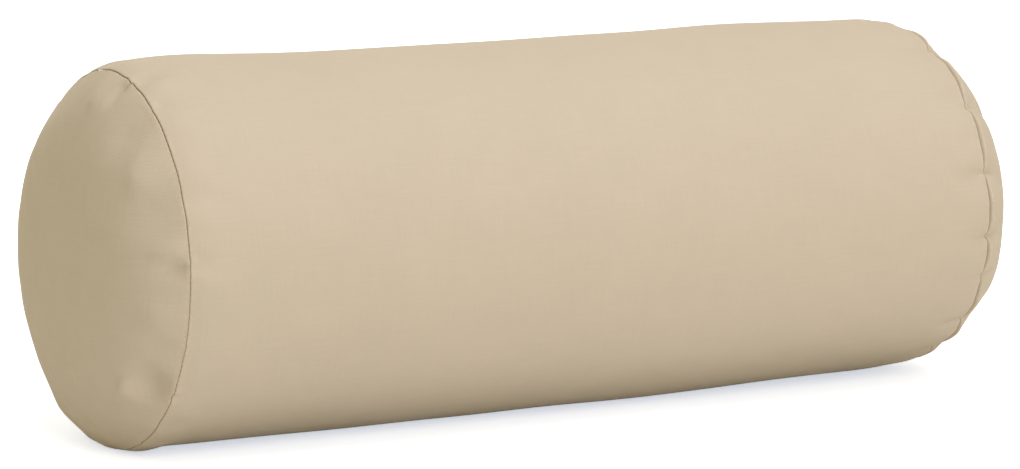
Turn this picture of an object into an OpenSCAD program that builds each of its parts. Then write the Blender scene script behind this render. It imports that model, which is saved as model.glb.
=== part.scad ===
// Bolster pillow: a round roll cushion with a removable sewn cover.
// +X runs along the roll, +Y is the back, +Z is up. The origin is the middle
// of the flat the roll settles on. Left is -X. All sizes are in millimetres.

/* [Roll] */
// Diameter across the widest part of the stuffed roll
roll_d = 205; // [195:1:215]
// Length of the tube panel between the two end seams
tube_l = 488; // [470:1:510]
// How far each end panel domes out past its seam
dome_h = 32; // [28:1:38]
// How much smaller the seam ring is than the roll, on the radius
seam_drop = 3; // [2.5:0.5:6]
// Width of the flat the roll settles on
rest_w = 64; // [50:2:70]

/* [Cover] */
// Thickness of the cover fabric
cover_t = 1.2; // [1:0.1:1.3]
// Depth of the in-turned seam allowance at each end seam
allow_w = 9; // [6:1:10]
// Width of the turned hem beside the zip
hem_w = 12; // [10:1:14]
// Number of stitches around each end seam
seam_stitches = 120; // [60:10:160]

/* [Zip] */
// Angle of the zip below the horizontal, on the back of the roll
zip_tilt = 25; // [15:1:35]
// Length of the toothed chain
chain_l = 386; // [320:2:386]
// Pitch of the zip teeth
tooth_p = 2; // [2:0.5:3]
// Pitch of the stitches that hold the zip
zip_stitch_p = 4; // [4:1:6]
// Length of the pull tab from its hinge
pull_l = 24; // [20:1:28]

/* [Filling] */
// Diameter of the foam core
foam_d = 160; // [140:2:164]
// Length of foam and wrap left off at each end for the end pads
pad_l = 34; // [30:1:40]

/* [Hidden] */

$fn = 96;

// Cover. A name ending in _r is a radius from the roll's axis.
roll_r = roll_d / 2;
seam_r = roll_r - seam_drop;
mouth_r = seam_r - allow_w;     // opening inside the seam allowance
axis_z = sqrt(roll_r * roll_r - rest_w * rest_w / 4);
seam_x = tube_l / 2;            // seam plane
seam_gap = 0.3;                 // gap between sewn edges
shoulder_w = 24;                // length of the rounded shoulder
shoulder_power = 3;             // higher is a sharper shoulder
dome_power = 4.5;               // higher is a fuller dome

// Inner liner
liner_r = roll_r - cover_t - 0.7;
liner_t = 0.6;
liner_seam_x = seam_x - 4;
liner_seam_r = mouth_r - 3.5;
liner_allow = 5;
liner_mouth_r = liner_seam_r - liner_allow;
liner_shoulder_w = 42;
liner_dome_h = dome_h + 4 - cover_t - 1.3;
liner_rest_z = cover_t + 0.3;   // height of the liner's flat
liner_back_r = roll_r - 5;      // flat behind the zip, from the axis

// Filling
fill_gap = 0.2;
fill_inset = liner_t + fill_gap;  // filling inside the liner's outer face
foam_r = foam_d / 2;
pad_x = seam_x - pad_l;         // plane where the end pads start
foam_x = pad_x - fill_gap;      // end of the foam and the wrap

// Zip, in its own frame: x along the roll, y across and downwards, z out from the axis
tape_r = roll_r - cover_t - 1.7;  // inner face of the tapes
tape_t = 0.6;
tape_top = tape_r + tape_t;
tape_near = 2;                  // tape edges, from the centre line
tape_far = 17;
slot_half = 4.8;                // slot in the cover
slot_x = chain_l / 2 + 9;
tape_x = slot_x + 8;
slider_x = chain_l / 2 - 4;     // slider position when shut
chain_start = -chain_l / 2;
chain_end = slider_x + 2;
stop_z = tape_r - 0.5;          // inner face of the stops
hinge_z = roll_r + 1.9;
pin_r = 0.8;
bore_r = 0.85;

fabric = [0.84, 0.77, 0.65];
thread_c = [0.78, 0.71, 0.58];
ticking = [0.93, 0.92, 0.89];
fibre_c = [0.97, 0.97, 0.96];
foam_c = [0.95, 0.90, 0.72];
tape_c = [0.80, 0.73, 0.60];
teeth_c = [0.76, 0.69, 0.56];
metal_c = [0.72, 0.72, 0.74];
label_c = [0.96, 0.96, 0.95];

// ---- outlines: [radius, position along the roll] ----
// Radius at x of a tube with radius mid_r that rounds down to end_r at x = end_x
function tube_r(x, mid_r, end_r, end_x, round_w) =
  let (in = end_x - abs(x))
  end_r + (mid_r - end_r) * (in >= round_w ? 1 : 1 - pow(1 - in / round_w, shoulder_power));

// Both shoulders of that tube, trimmed at cut_x; stations crowd towards the ends
function tube_line(mid_r, end_r, end_x, round_w, cut_x, n = 8) =
  let (xs = [for (i = [0 : n]) cut_x - (round_w - (end_x - cut_x)) * pow(i / n, 1.3)])
  concat(
    [for (i = [0 : n]) [tube_r(xs[i], mid_r, end_r, end_x, round_w), -xs[i]]],
    [for (i = [n : -1 : 0]) [tube_r(xs[i], mid_r, end_r, end_x, round_w), xs[i]]]
  );

function tube_solid(mid_r, end_r, end_x, round_w) =
  let (cut_x = end_x - seam_gap / 2)
  concat([[0, -cut_x]], tube_line(mid_r, end_r, end_x, round_w, cut_x), [[0, cut_x]]);

// Inside of a tube of thickness t, open at both ends to open_r
function tube_cavity(mid_r, end_r, end_x, round_w, open_r, t) =
  let (cut_x = end_x - seam_gap / 2 - t)
  concat(
    [[0, -end_x - 1], [open_r, -end_x - 1], [open_r, -cut_x]],
    tube_line(mid_r - t, end_r - t, end_x, round_w, cut_x),
    [[open_r, cut_x], [open_r, end_x + 1], [0, end_x + 1]]
  );

function dome_line(r, base_x, h, n) = [
  for (i = [0 : n]) let (a = r * sin(90 * (1 - i / n)))
    [a, base_x + h * (1 - pow(a / r, dome_power))]
];
function dome_solid(r, base_x, h, n) = concat([[0, base_x]], dome_line(r, base_x, h, n));

// Inside of a dome of thickness t, open at its base to open_r
function dome_cavity(r, base_x, h, n, open_r, t) = concat(
  [[0, base_x - 1], [open_r, base_x - 1], [open_r, base_x + t]],
  dome_line(r - t, base_x + t, h - 2 * t, n)
);

// ---- placing and trimming ----
module spin(points) {
  translate([0, 0, axis_z]) rotate([0, 90, 0]) rotate_extrude(convexity = 6) polygon(points);
}
// Half-space over height z
module above(z) {
  translate([-seam_x - 100, -roll_r - 50, z])
    cube([2 * seam_x + 200, 2 * roll_r + 100, 2 * roll_r + 100]);
}
module zip_frame() {
  translate([0, 0, axis_z]) rotate([-90 - zip_tilt, 0, 0]) children();
}
// Half-space on the axis side of a flat at distance r behind the zip
module zip_flat(r) {
  zip_frame() translate([-seam_x - 100, -roll_r, -roll_r - 20])
    cube([2 * seam_x + 200, 2 * roll_r, roll_r + 20 + r]);
}
// Keeps what lies inside both flats of the liner, each moved in by inset
module liner_trim(inset = 0) {
  intersection() {
    children();
    above(liner_rest_z + inset);
    zip_flat(liner_back_r - inset);
  }
}
// Children are drawn for the right end; side is -1 for left, 1 for right
module at_end(side) {
  if (side > 0) children();
  else mirror([1, 0, 0]) children();
}
// Lower y of a span from near to far off the zip's centre line
function span_y(side, near, far) = side > 0 ? near : -far;

// Arc strip beside the zip, near to far across, between two radii
module strip(half_l, side, near, far, inner_r, outer_r) {
  low = span_y(side, near, far);
  start = asin(low / roll_r);
  end = asin((low + far - near) / roll_r);
  zip_frame() translate([-half_l, 0, 0]) rotate([0, 90, 0]) rotate([0, 0, 180 - end])
    rotate_extrude(angle = end - start)
      translate([inner_r, 0]) square([outer_r - inner_r, 2 * half_l]);
}

// ---- cover ----
module cover_body() {
  color(fabric) difference() {
    union() {
      difference() {
        intersection() {
          spin(tube_solid(roll_r, seam_r, seam_x, shoulder_w));
          above(0);
        }
        intersection() {
          spin(tube_cavity(roll_r, seam_r, seam_x, shoulder_w, mouth_r, cover_t));
          above(cover_t);
        }
      }
      // turned hems
      for (side = [-1, 1])
        strip(seam_x - shoulder_w, side, 0, slot_half + hem_w,
          roll_r - 2 * cover_t + 0.2, roll_r - cover_t / 2);
    }
    zip_frame() {
      // zip slot
      translate([-slot_x, -slot_half, roll_r - 15]) cube([2 * slot_x, 2 * slot_half, 30]);
      // back seam, from end to end
      translate([-seam_x - 5, -seam_gap / 2, roll_r - 25])
        cube([2 * seam_x + 10, seam_gap, 40]);
    }
  }
}
module cover_end(side) {
  base_x = seam_x + seam_gap / 2;
  h = dome_h - seam_gap / 2;
  color(fabric) at_end(side) difference() {
    intersection() {
      spin(dome_solid(seam_r, base_x, h, 18));
      above(0);
    }
    intersection() {
      spin(dome_cavity(seam_r, base_x, h, 18, mouth_r, cover_t));
      above(cover_t);
    }
  }
}
// Blank label, set in the seam allowance at the top of the left end
module care_label() {
  label_w = 24;
  color(label_c) translate([-seam_x + 0.8, -label_w / 2, axis_z + mouth_r - 0.6])
    cube([0.5, label_w, 8.5]);
}

// ---- threads ----
// Straight stitches along x, spaced around the axis
module stitch_ring(x, r, len, count, d) {
  translate([x, 0, axis_z]) for (i = [0 : count - 1])
    rotate([360 * (i + 0.5) / count, 0, 0]) translate([-len / 2, 0, r])
      rotate([0, 90, 0]) cylinder(h = len, d = d, $fn = 16);
}
module seam_thread(side) {
  color(thread_c) stitch_ring(side * seam_x, seam_r - 4.5, len = 2 * cover_t + seam_gap + 0.8,
    count = seam_stitches, d = 0.6);
}
module liner_thread(side) {
  color(ticking) stitch_ring(side * liner_seam_x, liner_seam_r - 2.6,
    len = 2 * liner_t + seam_gap + 0.6, count = 80, d = 0.5);
}
// Stitches across the back seam, beyond each end of the zip slot
module back_seam_thread() {
  pitch = 3;
  len = 2.8;
  last = floor((seam_x - shoulder_w - slot_x - 4) / pitch);
  color(thread_c) zip_frame() for (side = [-1, 1], i = [0 : last])
    translate([side * (slot_x + pitch * (i + 1)), -len / 2, roll_r - 1.3 * cover_t])
      rotate([-90, 0, 0]) cylinder(h = len, d = 0.5, $fn = 16);
}
// A row of lockstitch on each side of the slot: a thread on top with a leg down
// each hole, and the bobbin thread below, which fills the space under the gaps
module zip_stitching() {
  thread_w = 0.5;
  start = -slot_x - 4;
  n = floor(-2 * start / zip_stitch_p);
  row_y = slot_half + 3;
  surface_z = sqrt(roll_r * roll_r - row_y * row_y);
  low = surface_z - 3.3;
  top = surface_z + 0.25;
  notch = top - 0.4;
  row_end = start + n * zip_stitch_p + thread_w;
  color(thread_c) zip_frame() for (side = [-1, 1])
    translate([0, side * row_y + thread_w / 2, 0]) rotate([90, 0, 0])
      linear_extrude(thread_w) polygon(concat(
        [[start, low], [start, top], [row_end, top], [row_end, low]],
        [for (i = [n : -1 : 1])
          let (right = start + i * zip_stitch_p, left = right - zip_stitch_p + thread_w)
          each [[right, low], [right, notch], [left, notch], [left, low]]]
      ));
}

// ---- zip: side is -1 for the upper half, 1 for the lower ----
module zip_tape(side) {
  color(tape_c) strip(tape_x, side, tape_near, tape_far, tape_r, tape_top);
}
// A comb: a spine on the tape edge with teeth that reach past the centre line
module zip_teeth(side) {
  last = floor((chain_end - chain_start) / tooth_p) - 1;
  tooth_w = tooth_p / 2 - 0.06;
  taper = 0.12;
  back = side * 2.9;
  root = side * 1.45;
  tip = -side * 1.2;
  spine_start = chain_start - 0.5;
  spine_end = chain_end - 0.2;
  first = chain_start + (side > 0 ? 0 : tooth_p / 2);
  color(teeth_c) zip_frame() translate([0, 0, tape_top - 0.05]) linear_extrude(1.6)
    polygon(concat(
      [[spine_start, back], [spine_end, back], [spine_end, root]],
      [for (i = [last : -1 : 0]) let (x = first + i * tooth_p)
        each [[x + tooth_w, root], [x + tooth_w - taper, tip], [x + taper, tip], [x, root]]],
      [[spine_start, root]]
    ));
}
// Cutter for the tape's passage through a stop
module tape_slot(side, below) {
  near = tape_near - 0.1;
  far = 10;
  translate([-1, span_y(side, near, far), tape_r - below])
    cube([5, far - near, tape_t + below + 0.04]);
}
module zip_top_stops() {
  near = 1.3;
  far = 3.9;
  color(metal_c) zip_frame() for (side = [-1, 1]) translate([slider_x + 6, 0, 0])
    difference() {
      translate([0, span_y(side, near, far), stop_z]) cube([2.4, far - near, 2.2]);
      tape_slot(side, below = 0.08);
    }
}
module zip_bottom_stop() {
  stop_w = 7.2;
  color(metal_c) zip_frame() translate([chain_start - 3.4, 0, 0]) difference() {
    translate([0, -stop_w / 2, stop_z]) cube([2.6, stop_w, 2.4]);
    for (side = [-1, 1]) tape_slot(side, below = 0.12);
  }
}
// [x, y] around the slider's plates
module slider_outline() {
  polygon([
    [-5.5, -2.4], [-4.8, -3.3], [2.2, -4.4], [4.4, -4.4], [5.5, -3.3],
    [5.5, 3.3], [4.4, 4.4], [2.2, 4.4], [-4.8, 3.3], [-5.5, 2.4]
  ]);
}
module zip_slider() {
  roof_z = tape_r + 2.5;       // underside of the upper plate
  rim_z = tape_top + 0.3;
  low_z = tape_r - 1;
  arch_z = roof_z + 0.5;
  arch_t = 1.4;
  arch_r = 1.6;
  foot_half = 2.8;
  color(metal_c) zip_frame() translate([slider_x, 0, 0]) {
    // upper plate with its two down-turned rims
    difference() {
      translate([0, 0, rim_z]) linear_extrude(roof_z + 0.9 - rim_z) slider_outline();
      // channel for the teeth, [x, y] before the shift
      translate([-6, 0, tape_r]) linear_extrude(roof_z - tape_r) polygon([
        [-1, -2.85], [7.4, -3.1], [8.6, -3.75], [13, -3.75],
        [13, 3.75], [8.6, 3.75], [7.4, 3.1], [-1, 2.85]
      ]);
    }
    // lower plate under the tapes
    translate([0, 0, low_z]) linear_extrude(0.8) slider_outline();
    // wedge that joins the plates and parts the two rows
    translate([0, 0, low_z + 0.4]) linear_extrude(roof_z + 0.4 - low_z) union() {
      translate([3.9, 0]) circle(r = 1.2, $fn = 32);
      polygon([[2.5, 0], [3.6, -1.16], [3.6, 1.16]]);
    }
    // arch that holds the pull
    translate([0, arch_t / 2, 0]) rotate([90, 0, 0]) linear_extrude(arch_t) difference() {
      union() {
        translate([0, hinge_z]) circle(r = arch_r, $fn = 48);
        translate([-arch_r, arch_z]) square([2 * arch_r, hinge_z - arch_z]);
        translate([-foot_half, arch_z]) square([2 * foot_half, 0.9]);
      }
      translate([0, hinge_z]) circle(r = bore_r, $fn = 48);
    }
  }
}
// The pull lies along -x from its hinge
module zip_pull() {
  bar_l = 3.2;
  blade_t = 1.2;
  blade_r = 3;                 // half width of the blade and radius of its ends
  tip_x = -pull_l + blade_r;
  neck_x = -6;
  window_x = -3.6;
  window_r = 1.1;
  color(metal_c) zip_frame() translate([slider_x, 0, hinge_z]) {
    // crossbar through the slider's arch
    translate([0, -bar_l / 2, 0]) rotate([-90, 0, 0]) cylinder(h = bar_l, r = pin_r, $fn = 48);
    translate([0, 0, -blade_t / 2]) linear_extrude(blade_t) difference() {
      union() {
        translate([-6.4, -2.3]) square([7.2, 4.6]);
        translate([tip_x, -blade_r]) square([neck_x - tip_x, 2 * blade_r]);
        for (x = [tip_x, neck_x]) translate([x, 0]) circle(r = blade_r, $fn = 48);
      }
      // window around the arch
      translate([window_x, -window_r]) square([7, 2 * window_r]);
      translate([window_x, 0]) circle(r = window_r, $fn = 32);
      // hole near the tip
      translate([tip_x + 1, 0]) circle(r = 1.3, $fn = 32);
    }
  }
}

// ---- inner liner ----
module liner_body() {
  color(ticking) difference() {
    liner_trim()
      spin(tube_solid(liner_r, liner_seam_r, liner_seam_x, liner_shoulder_w));
    liner_trim(liner_t)
      spin(tube_cavity(liner_r, liner_seam_r, liner_seam_x, liner_shoulder_w,
        liner_mouth_r, liner_t));
  }
}
module liner_end(side) {
  base_x = liner_seam_x + seam_gap / 2;
  h = liner_dome_h - seam_gap / 2;
  color(ticking) at_end(side) difference() {
    spin(dome_solid(liner_seam_r, base_x, h, 14));
    spin(dome_cavity(liner_seam_r, base_x, h, 14, liner_mouth_r, liner_t));
  }
}
// A row along the roll, 40 degrees forward of the top
module liner_closing_stitches() {
  len = 3.2;
  color(ticking) translate([0, 0, axis_z]) rotate([40, 0, 0]) for (i = [-24 : 24])
    translate([i * 5 - len / 2, 0, liner_r]) rotate([0, 90, 0])
      cylinder(h = len, d = 0.5, $fn = 16);
}

// ---- filling ----
module fibre_wrap() {
  bore = foam_r + fill_gap;
  color(fibre_c) liner_trim(fill_inset) spin(concat(
    [[bore, -foam_x]],
    tube_line(liner_r - fill_inset, liner_seam_r - fill_inset, liner_seam_x,
      liner_shoulder_w, foam_x, 3),
    [[bore, foam_x]]
  ));
}
// Fills the liner's end and narrows to a neck through its seam
module end_pad(side) {
  neck_half = seam_gap / 2 + liner_t + 0.5;
  neck_r = liner_mouth_r - 0.5;
  neck_start = liner_seam_x - neck_half;
  neck_end = liner_seam_x + neck_half;
  pad_r = liner_seam_r - fill_inset;
  n = 8;
  color(fibre_c) at_end(side) liner_trim(fill_inset) spin(concat(
    [[0, pad_x]],
    [for (i = [0 : n]) let (x = pad_x + (neck_start - pad_x) * i / n)
      [tube_r(x, liner_r - fill_inset, pad_r, liner_seam_x, liner_shoulder_w), x]],
    [[neck_r, neck_start], [neck_r, neck_end]],
    dome_line(pad_r - 0.4, neck_end, liner_dome_h - neck_half - fill_inset - 0.6, 14)
  ));
}
module foam_core() {
  bevel = 3;
  color(foam_c) spin([
    [0, -foam_x], [foam_r - bevel, -foam_x], [foam_r, -foam_x + bevel],
    [foam_r, foam_x - bevel], [foam_r - bevel, foam_x], [0, foam_x]
  ]);
}

cover_body();
cover_end(-1);  // cover_end_left
cover_end(1);  // cover_end_right
seam_thread(-1);  // seam_thread_left
seam_thread(1);  // seam_thread_right
back_seam_thread();
zip_stitching();
zip_tape(-1);  // zip_tape_upper
zip_tape(1);  // zip_tape_lower
zip_teeth(-1);  // zip_teeth_upper
zip_teeth(1);  // zip_teeth_lower
zip_top_stops();
zip_bottom_stop();
zip_slider();
zip_pull();
care_label();
liner_body();
liner_end(-1);  // liner_end_left
liner_end(1);  // liner_end_right
liner_thread(-1);  // liner_thread_left
liner_thread(1);  // liner_thread_right
liner_closing_stitches();
fibre_wrap();
end_pad(-1);  // end_pad_left
end_pad(1);  // end_pad_right
foam_core();
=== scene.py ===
"""A stuffed bolster cushion: a zipped cloth cover over a ticking liner, fibre and a foam core.

The roll lies along X on the floor at z = 0, centred on x = 0 and y = 0. Its left end is at -X.
Angles round the roll start at +Y and reach 90 degrees at the top. The zip runs along the +Y
side, a little below the axis. Ends and sides of the zip are written as -1 and 1.
"""
import math

import bpy
import numpy as np
from mathutils import Matrix, Vector


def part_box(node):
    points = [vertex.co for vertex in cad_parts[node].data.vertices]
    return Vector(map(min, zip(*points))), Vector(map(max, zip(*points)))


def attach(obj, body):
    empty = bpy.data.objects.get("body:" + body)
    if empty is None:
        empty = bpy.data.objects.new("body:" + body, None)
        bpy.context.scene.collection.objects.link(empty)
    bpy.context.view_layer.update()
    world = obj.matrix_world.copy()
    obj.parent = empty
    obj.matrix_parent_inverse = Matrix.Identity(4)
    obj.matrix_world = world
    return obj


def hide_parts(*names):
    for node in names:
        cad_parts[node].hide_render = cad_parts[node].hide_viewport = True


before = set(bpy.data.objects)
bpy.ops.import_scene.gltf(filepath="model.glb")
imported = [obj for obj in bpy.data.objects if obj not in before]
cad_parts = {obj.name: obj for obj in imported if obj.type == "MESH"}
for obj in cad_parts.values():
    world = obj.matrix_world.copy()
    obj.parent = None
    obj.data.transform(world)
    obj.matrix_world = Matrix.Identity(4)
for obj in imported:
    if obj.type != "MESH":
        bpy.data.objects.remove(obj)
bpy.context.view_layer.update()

MM = 0.001
PI = math.pi
TURN = 2 * PI
END_NAME = {-1: "left", 1: "right"}

# ---------------------------------------------------------------- sizes, from the frame
body_low, body_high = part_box("cover_body")
RADIUS = (body_high.y - body_low.y) / 2
AXIS_Z = body_high.z - RADIUS
SEAM_X = body_high.x + 0.15 * MM               # plane of the right end seam
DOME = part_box("cover_end_right")[1].x - SEAM_X
ZIP_ANGLE = -math.radians(25)
slider_low, slider_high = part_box("zip_slider")
SLIDER_X = (slider_low.x + slider_high.x) / 2
TAPE_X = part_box("zip_tape_upper")[1].x
SLOT_X = TAPE_X - 8 * MM                       # half length of the zip opening
SLOT_HALF = 4.8 * MM                           # half width of the zip opening
LINER_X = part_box("liner_end_right")[0].x
PAD_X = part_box("end_pad_right")[0].x
CLOTH = 1.0 * MM                               # thickness of the cover cloth


# ---------------------------------------------------------------- number helpers
def smooth(t):
    t = np.clip(t, 0, 1)
    return t * t * (3 - 2 * t)


def unit(vectors):
    return vectors / np.maximum(np.linalg.norm(vectors, axis=-1, keepdims=True), 1e-12)


def bell(distance, spread):
    return np.exp(-((distance / spread) ** 2))


def wrap(angle):
    """The same angle between minus half a turn and half a turn."""
    return np.mod(angle + PI, TURN) - PI


def degrees_from(angle, degrees):
    return np.degrees(wrap(angle - math.radians(degrees)))


def around(x, radius, angle):
    """Point at x along the roll, radius and angle round its axis."""
    x, radius, angle = np.broadcast_arrays(x, radius, angle)
    return np.stack([x, radius * np.cos(angle), radius * np.sin(angle)], -1)


def outward(angle):
    return around(0, 1, angle)


def ring_noise(angle, seed, waves, power):
    """Periodic seeded noise round the roll, about unit height."""
    rng = np.random.default_rng(seed)
    out = np.zeros_like(angle)
    energy = 0
    for wave in waves:
        height = rng.normal() / wave**power
        energy += height * height / 2
        out += height * np.cos(wave * angle + rng.uniform(0, TURN))
    return out / math.sqrt(energy)


def field_noise(angle, along, seed, count, turns, rates):
    """Smooth seeded two-way noise: whole waves per turn, and radians per unit along."""
    rng = np.random.default_rng(seed)
    out = np.zeros(np.broadcast(angle, along).shape)
    for _ in range(count):
        turn = int(rng.integers(turns[0], turns[1] + 1)) * (1 if rng.random() < 0.5 else -1)
        rate = rng.uniform(*rates)
        out = out + rng.normal() * np.cos(turn * angle + rate * along + rng.uniform(0, TURN))
    return out / math.sqrt(count / 2)


def lookup(grid, row, col, wrap_cols):
    """Catmull-Rom value of a grid at a fractional row (clamped) and col (wrapped or clamped)."""
    rows, cols = grid.shape[:2]

    def weighted(index):
        whole = np.floor(index).astype(int)
        f = index - whole
        return whole, (
            -0.5 * f + f * f - 0.5 * f**3,
            1 - 2.5 * f * f + 1.5 * f**3,
            0.5 * f + 2 * f * f - 1.5 * f**3,
            -0.5 * f * f + 0.5 * f**3,
        )

    row, row_weights = weighted(np.clip(row, 0, rows - 1 - 1e-9))
    col, col_weights = weighted(col if wrap_cols else np.clip(col, 0, cols - 1 - 1e-9))
    out = 0
    for i in range(4):
        from_row = np.clip(row + i - 1, 0, rows - 1)
        for k in range(4):
            from_col = col + k - 1
            from_col = from_col % cols if wrap_cols else np.clip(from_col, 0, cols - 1)
            out = out + (row_weights[i] * col_weights[k])[..., None] * grid[from_row, from_col]
    return out


def normals(surface, first, second, first_step, second_step):
    """Unit normal of surface(first, second), by differences."""
    along_first = surface(first + first_step, second) - surface(first - first_step, second)
    along_second = surface(first, second + second_step) - surface(first, second - second_step)
    return unit(np.cross(along_first, along_second))


# ---------------------------------------------------------------- mesh helpers
def make(name, verts, faces, uv=None, attrs=None):
    """Mesh object from vertices and one array, or a list of arrays, of faces."""
    mesh = bpy.data.meshes.new(name)
    faces = faces if isinstance(faces, list) else [faces]
    corners = np.concatenate([part.ravel() for part in faces])
    sizes = np.concatenate([np.full(len(part), part.shape[1]) for part in faces])
    starts = np.concatenate([[0], np.cumsum(sizes)[:-1]])
    mesh.vertices.add(len(verts))
    mesh.vertices.foreach_set("co", verts.astype(np.float32).ravel())
    mesh.loops.add(len(corners))
    mesh.loops.foreach_set("vertex_index", corners.astype(np.int32))
    mesh.polygons.add(len(sizes))
    mesh.polygons.foreach_set("loop_start", starts.astype(np.int32))
    mesh.update(calc_edges=True)
    mesh.validate()
    mesh.polygons.foreach_set("use_smooth", np.ones(len(mesh.polygons), bool))
    # no UV map where validation dropped a face
    if uv is not None and len(mesh.loops) == len(corners):
        layer = mesh.uv_layers.new(name="UVMap")
        index = np.empty(len(mesh.loops), np.int32)
        mesh.loops.foreach_get("vertex_index", index)
        layer.data.foreach_set("uv", np.asarray(uv, np.float32)[index].ravel())
    for key, values in (attrs or {}).items():
        add_attribute(mesh, key, values)
    ob = bpy.data.objects.new(name, mesh)
    bpy.context.scene.collection.objects.link(ob)
    return ob


def add_attribute(mesh, name, values):
    attribute = mesh.attributes.new(name, "FLOAT", "POINT")
    attribute.data.foreach_set("value", np.asarray(values, np.float32))


def numbered(start, rows, cols):
    return start + np.arange(rows * cols).reshape(rows, cols)


def grid_faces(ids, wrap=False, flip=False):
    """Quads of an index grid; wrap joins the last column to the first."""
    if wrap:
        ids = np.concatenate([ids, ids[:, :1]], 1)
    quads = np.stack([ids[:-1, :-1], ids[:-1, 1:], ids[1:, 1:], ids[1:, :-1]], -1).reshape(-1, 4)
    return quads[:, ::-1] if flip else quads


def band(first, second):
    """Closed strip of quads between two rings of ids."""
    return grid_faces(np.stack([first, second]), wrap=True)


def fan(centre, ring, flip=False):
    """Quads that close a ring with an even count round a centre vertex."""
    even = np.arange(0, len(ring), 2)
    corners = [ring[even], ring[(even + 1) % len(ring)], ring[(even + 2) % len(ring)]]
    if flip:
        corners.reverse()
    return np.stack([np.full(len(even), centre)] + corners, -1)


def join_rows(fine, coarse, at):
    """Triangles between two rows of ids; coarse[k] stands beside fine[at[k]]."""
    out = []
    for k in range(len(at) - 1):
        for i in range(at[k], at[k + 1]):
            out.append((coarse[k], fine[i], fine[i + 1]))
        out.append((coarse[k], fine[at[k + 1]], coarse[k + 1]))
    return np.array(out)


def tubes(paths, radius, sides=6):
    """Vertices and quads of a round thread along each path; one radius, or one per point."""
    verts, faces = [], []
    base = 0
    turn = (TURN * np.arange(sides) / sides)[None, :, None]
    for path in paths:
        count = len(path)
        along = unit(np.gradient(path, axis=0))
        across = unit(np.cross(along, np.array([0.3, 0.5, 0.81])))
        for i in range(1, count):  # carry the frame along
            across[i] = across[i - 1] - along[i] * (across[i - 1] @ along[i])
            across[i] /= max(np.linalg.norm(across[i]), 1e-9)
        third = np.cross(along, across)
        radii = np.broadcast_to(np.asarray(radius, float), (count,))
        rings = np.cos(turn) * across[:, None] + np.sin(turn) * third[:, None]
        verts.append((path[:, None] + radii[:, None, None] * rings).reshape(-1, 3))
        tips = [path[0] - along[0] * radii[0] * 0.5, path[-1] + along[-1] * radii[-1] * 0.5]
        verts.append(np.array(tips))
        ids = numbered(base, count, sides)
        first_tip = base + count * sides
        faces.append(grid_faces(ids, wrap=True, flip=True))
        faces.append(fan(first_tip, ids[0]))
        faces.append(fan(first_tip + 1, ids[-1], flip=True))
        base = first_tip + 2
    return np.concatenate(verts), np.concatenate(faces)


def threads(name, paths, radius):
    return make(name, *tubes(paths, radius))


def face_outward(ob):
    """Turn the faces of a closed piece to point out."""
    mesh = ob.data
    mesh.calc_loop_triangles()
    points = np.empty(len(mesh.vertices) * 3, np.float32)
    mesh.vertices.foreach_get("co", points)
    points = points.reshape(-1, 3).astype(float)
    corners = np.empty(len(mesh.loop_triangles) * 3, np.int32)
    mesh.loop_triangles.foreach_get("vertices", corners)
    first, second, third = (points - points.mean(0))[corners.reshape(-1, 3)].swapaxes(0, 1)
    if np.einsum("ij,ij->i", first, np.cross(second, third)).sum() < 0:
        mesh.flip_normals()
    return ob


def sheet(name, one, other, u, v):
    """Closed strip between two grids of points, with its four edges."""
    rows, cols = one.shape[:2]
    top, under = numbered(0, rows, cols), numbered(rows * cols, rows, cols)
    faces = np.concatenate([
        grid_faces(top),
        grid_faces(under, flip=True),
        grid_faces(np.stack([under[:, 0], top[:, 0]], 1)),
        grid_faces(np.stack([top[:, -1], under[:, -1]], 1)),
        grid_faces(np.stack([under[0], top[0]])),
        grid_faces(np.stack([top[-1], under[-1]])),
    ])
    uv = np.stack(np.broadcast_arrays(u, v), -1).reshape(-1, 2)
    verts = np.concatenate([one.reshape(-1, 3), other.reshape(-1, 3)])
    return face_outward(make(name, verts, faces, np.concatenate([uv, uv])))


def ringed_solid(name, rings):
    """Solid through a stack of rings, closed at both ends."""
    count, sides = rings.shape[:2]
    ids = numbered(0, count, sides)
    first_tip = count * sides
    verts = np.concatenate([rings.reshape(-1, 3), rings[:1].mean(1), rings[-1:].mean(1)])
    faces = np.concatenate([
        grid_faces(ids, wrap=True),
        fan(first_tip, ids[0], flip=True)[:, [1, 2, 3, 0]][:, [3, 0, 1, 2]][:, [1, 2, 3, 0]],
        fan(first_tip + 1, ids[-1]),
    ])
    return face_outward(make(name, verts, faces))


# ---------------------------------------------------------------- discs as square grids
def square_to_disc(steps):
    """Radius (0 to 1) and angle of each point of a square grid laid over a disc."""
    line = np.linspace(-1, 1, steps + 1)
    x, y = np.meshgrid(line, line, indexing="ij")
    radius = np.maximum(np.abs(x), np.abs(y))
    with np.errstate(all="ignore"):
        angle = np.where(
            np.abs(x) >= np.abs(y),
            np.where(x >= 0, 0.0, PI) + (PI / 4) * np.nan_to_num(y / x),
            np.where(y >= 0, PI / 2, -PI / 2) - (PI / 4) * np.nan_to_num(x / y),
        )
    return radius, np.where(radius < 1e-9, 0, angle)


def disc_to_square(radius, angle):
    """The inverse: place on the square, each way from -1 to 1."""
    angle = np.mod(angle + PI / 4, TURN) - PI / 4
    quarter = np.floor((angle + PI / 4) / (PI / 2)).astype(int)
    part = (angle - quarter * PI / 2) / (PI / 4)
    sides = [quarter == 0, quarter == 1, quarter == 2]
    x = np.select(sides, [radius, -radius * part, -radius], radius * part)
    y = np.select(sides, [radius * part, radius, -radius * part], -radius)
    return x, y


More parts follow.
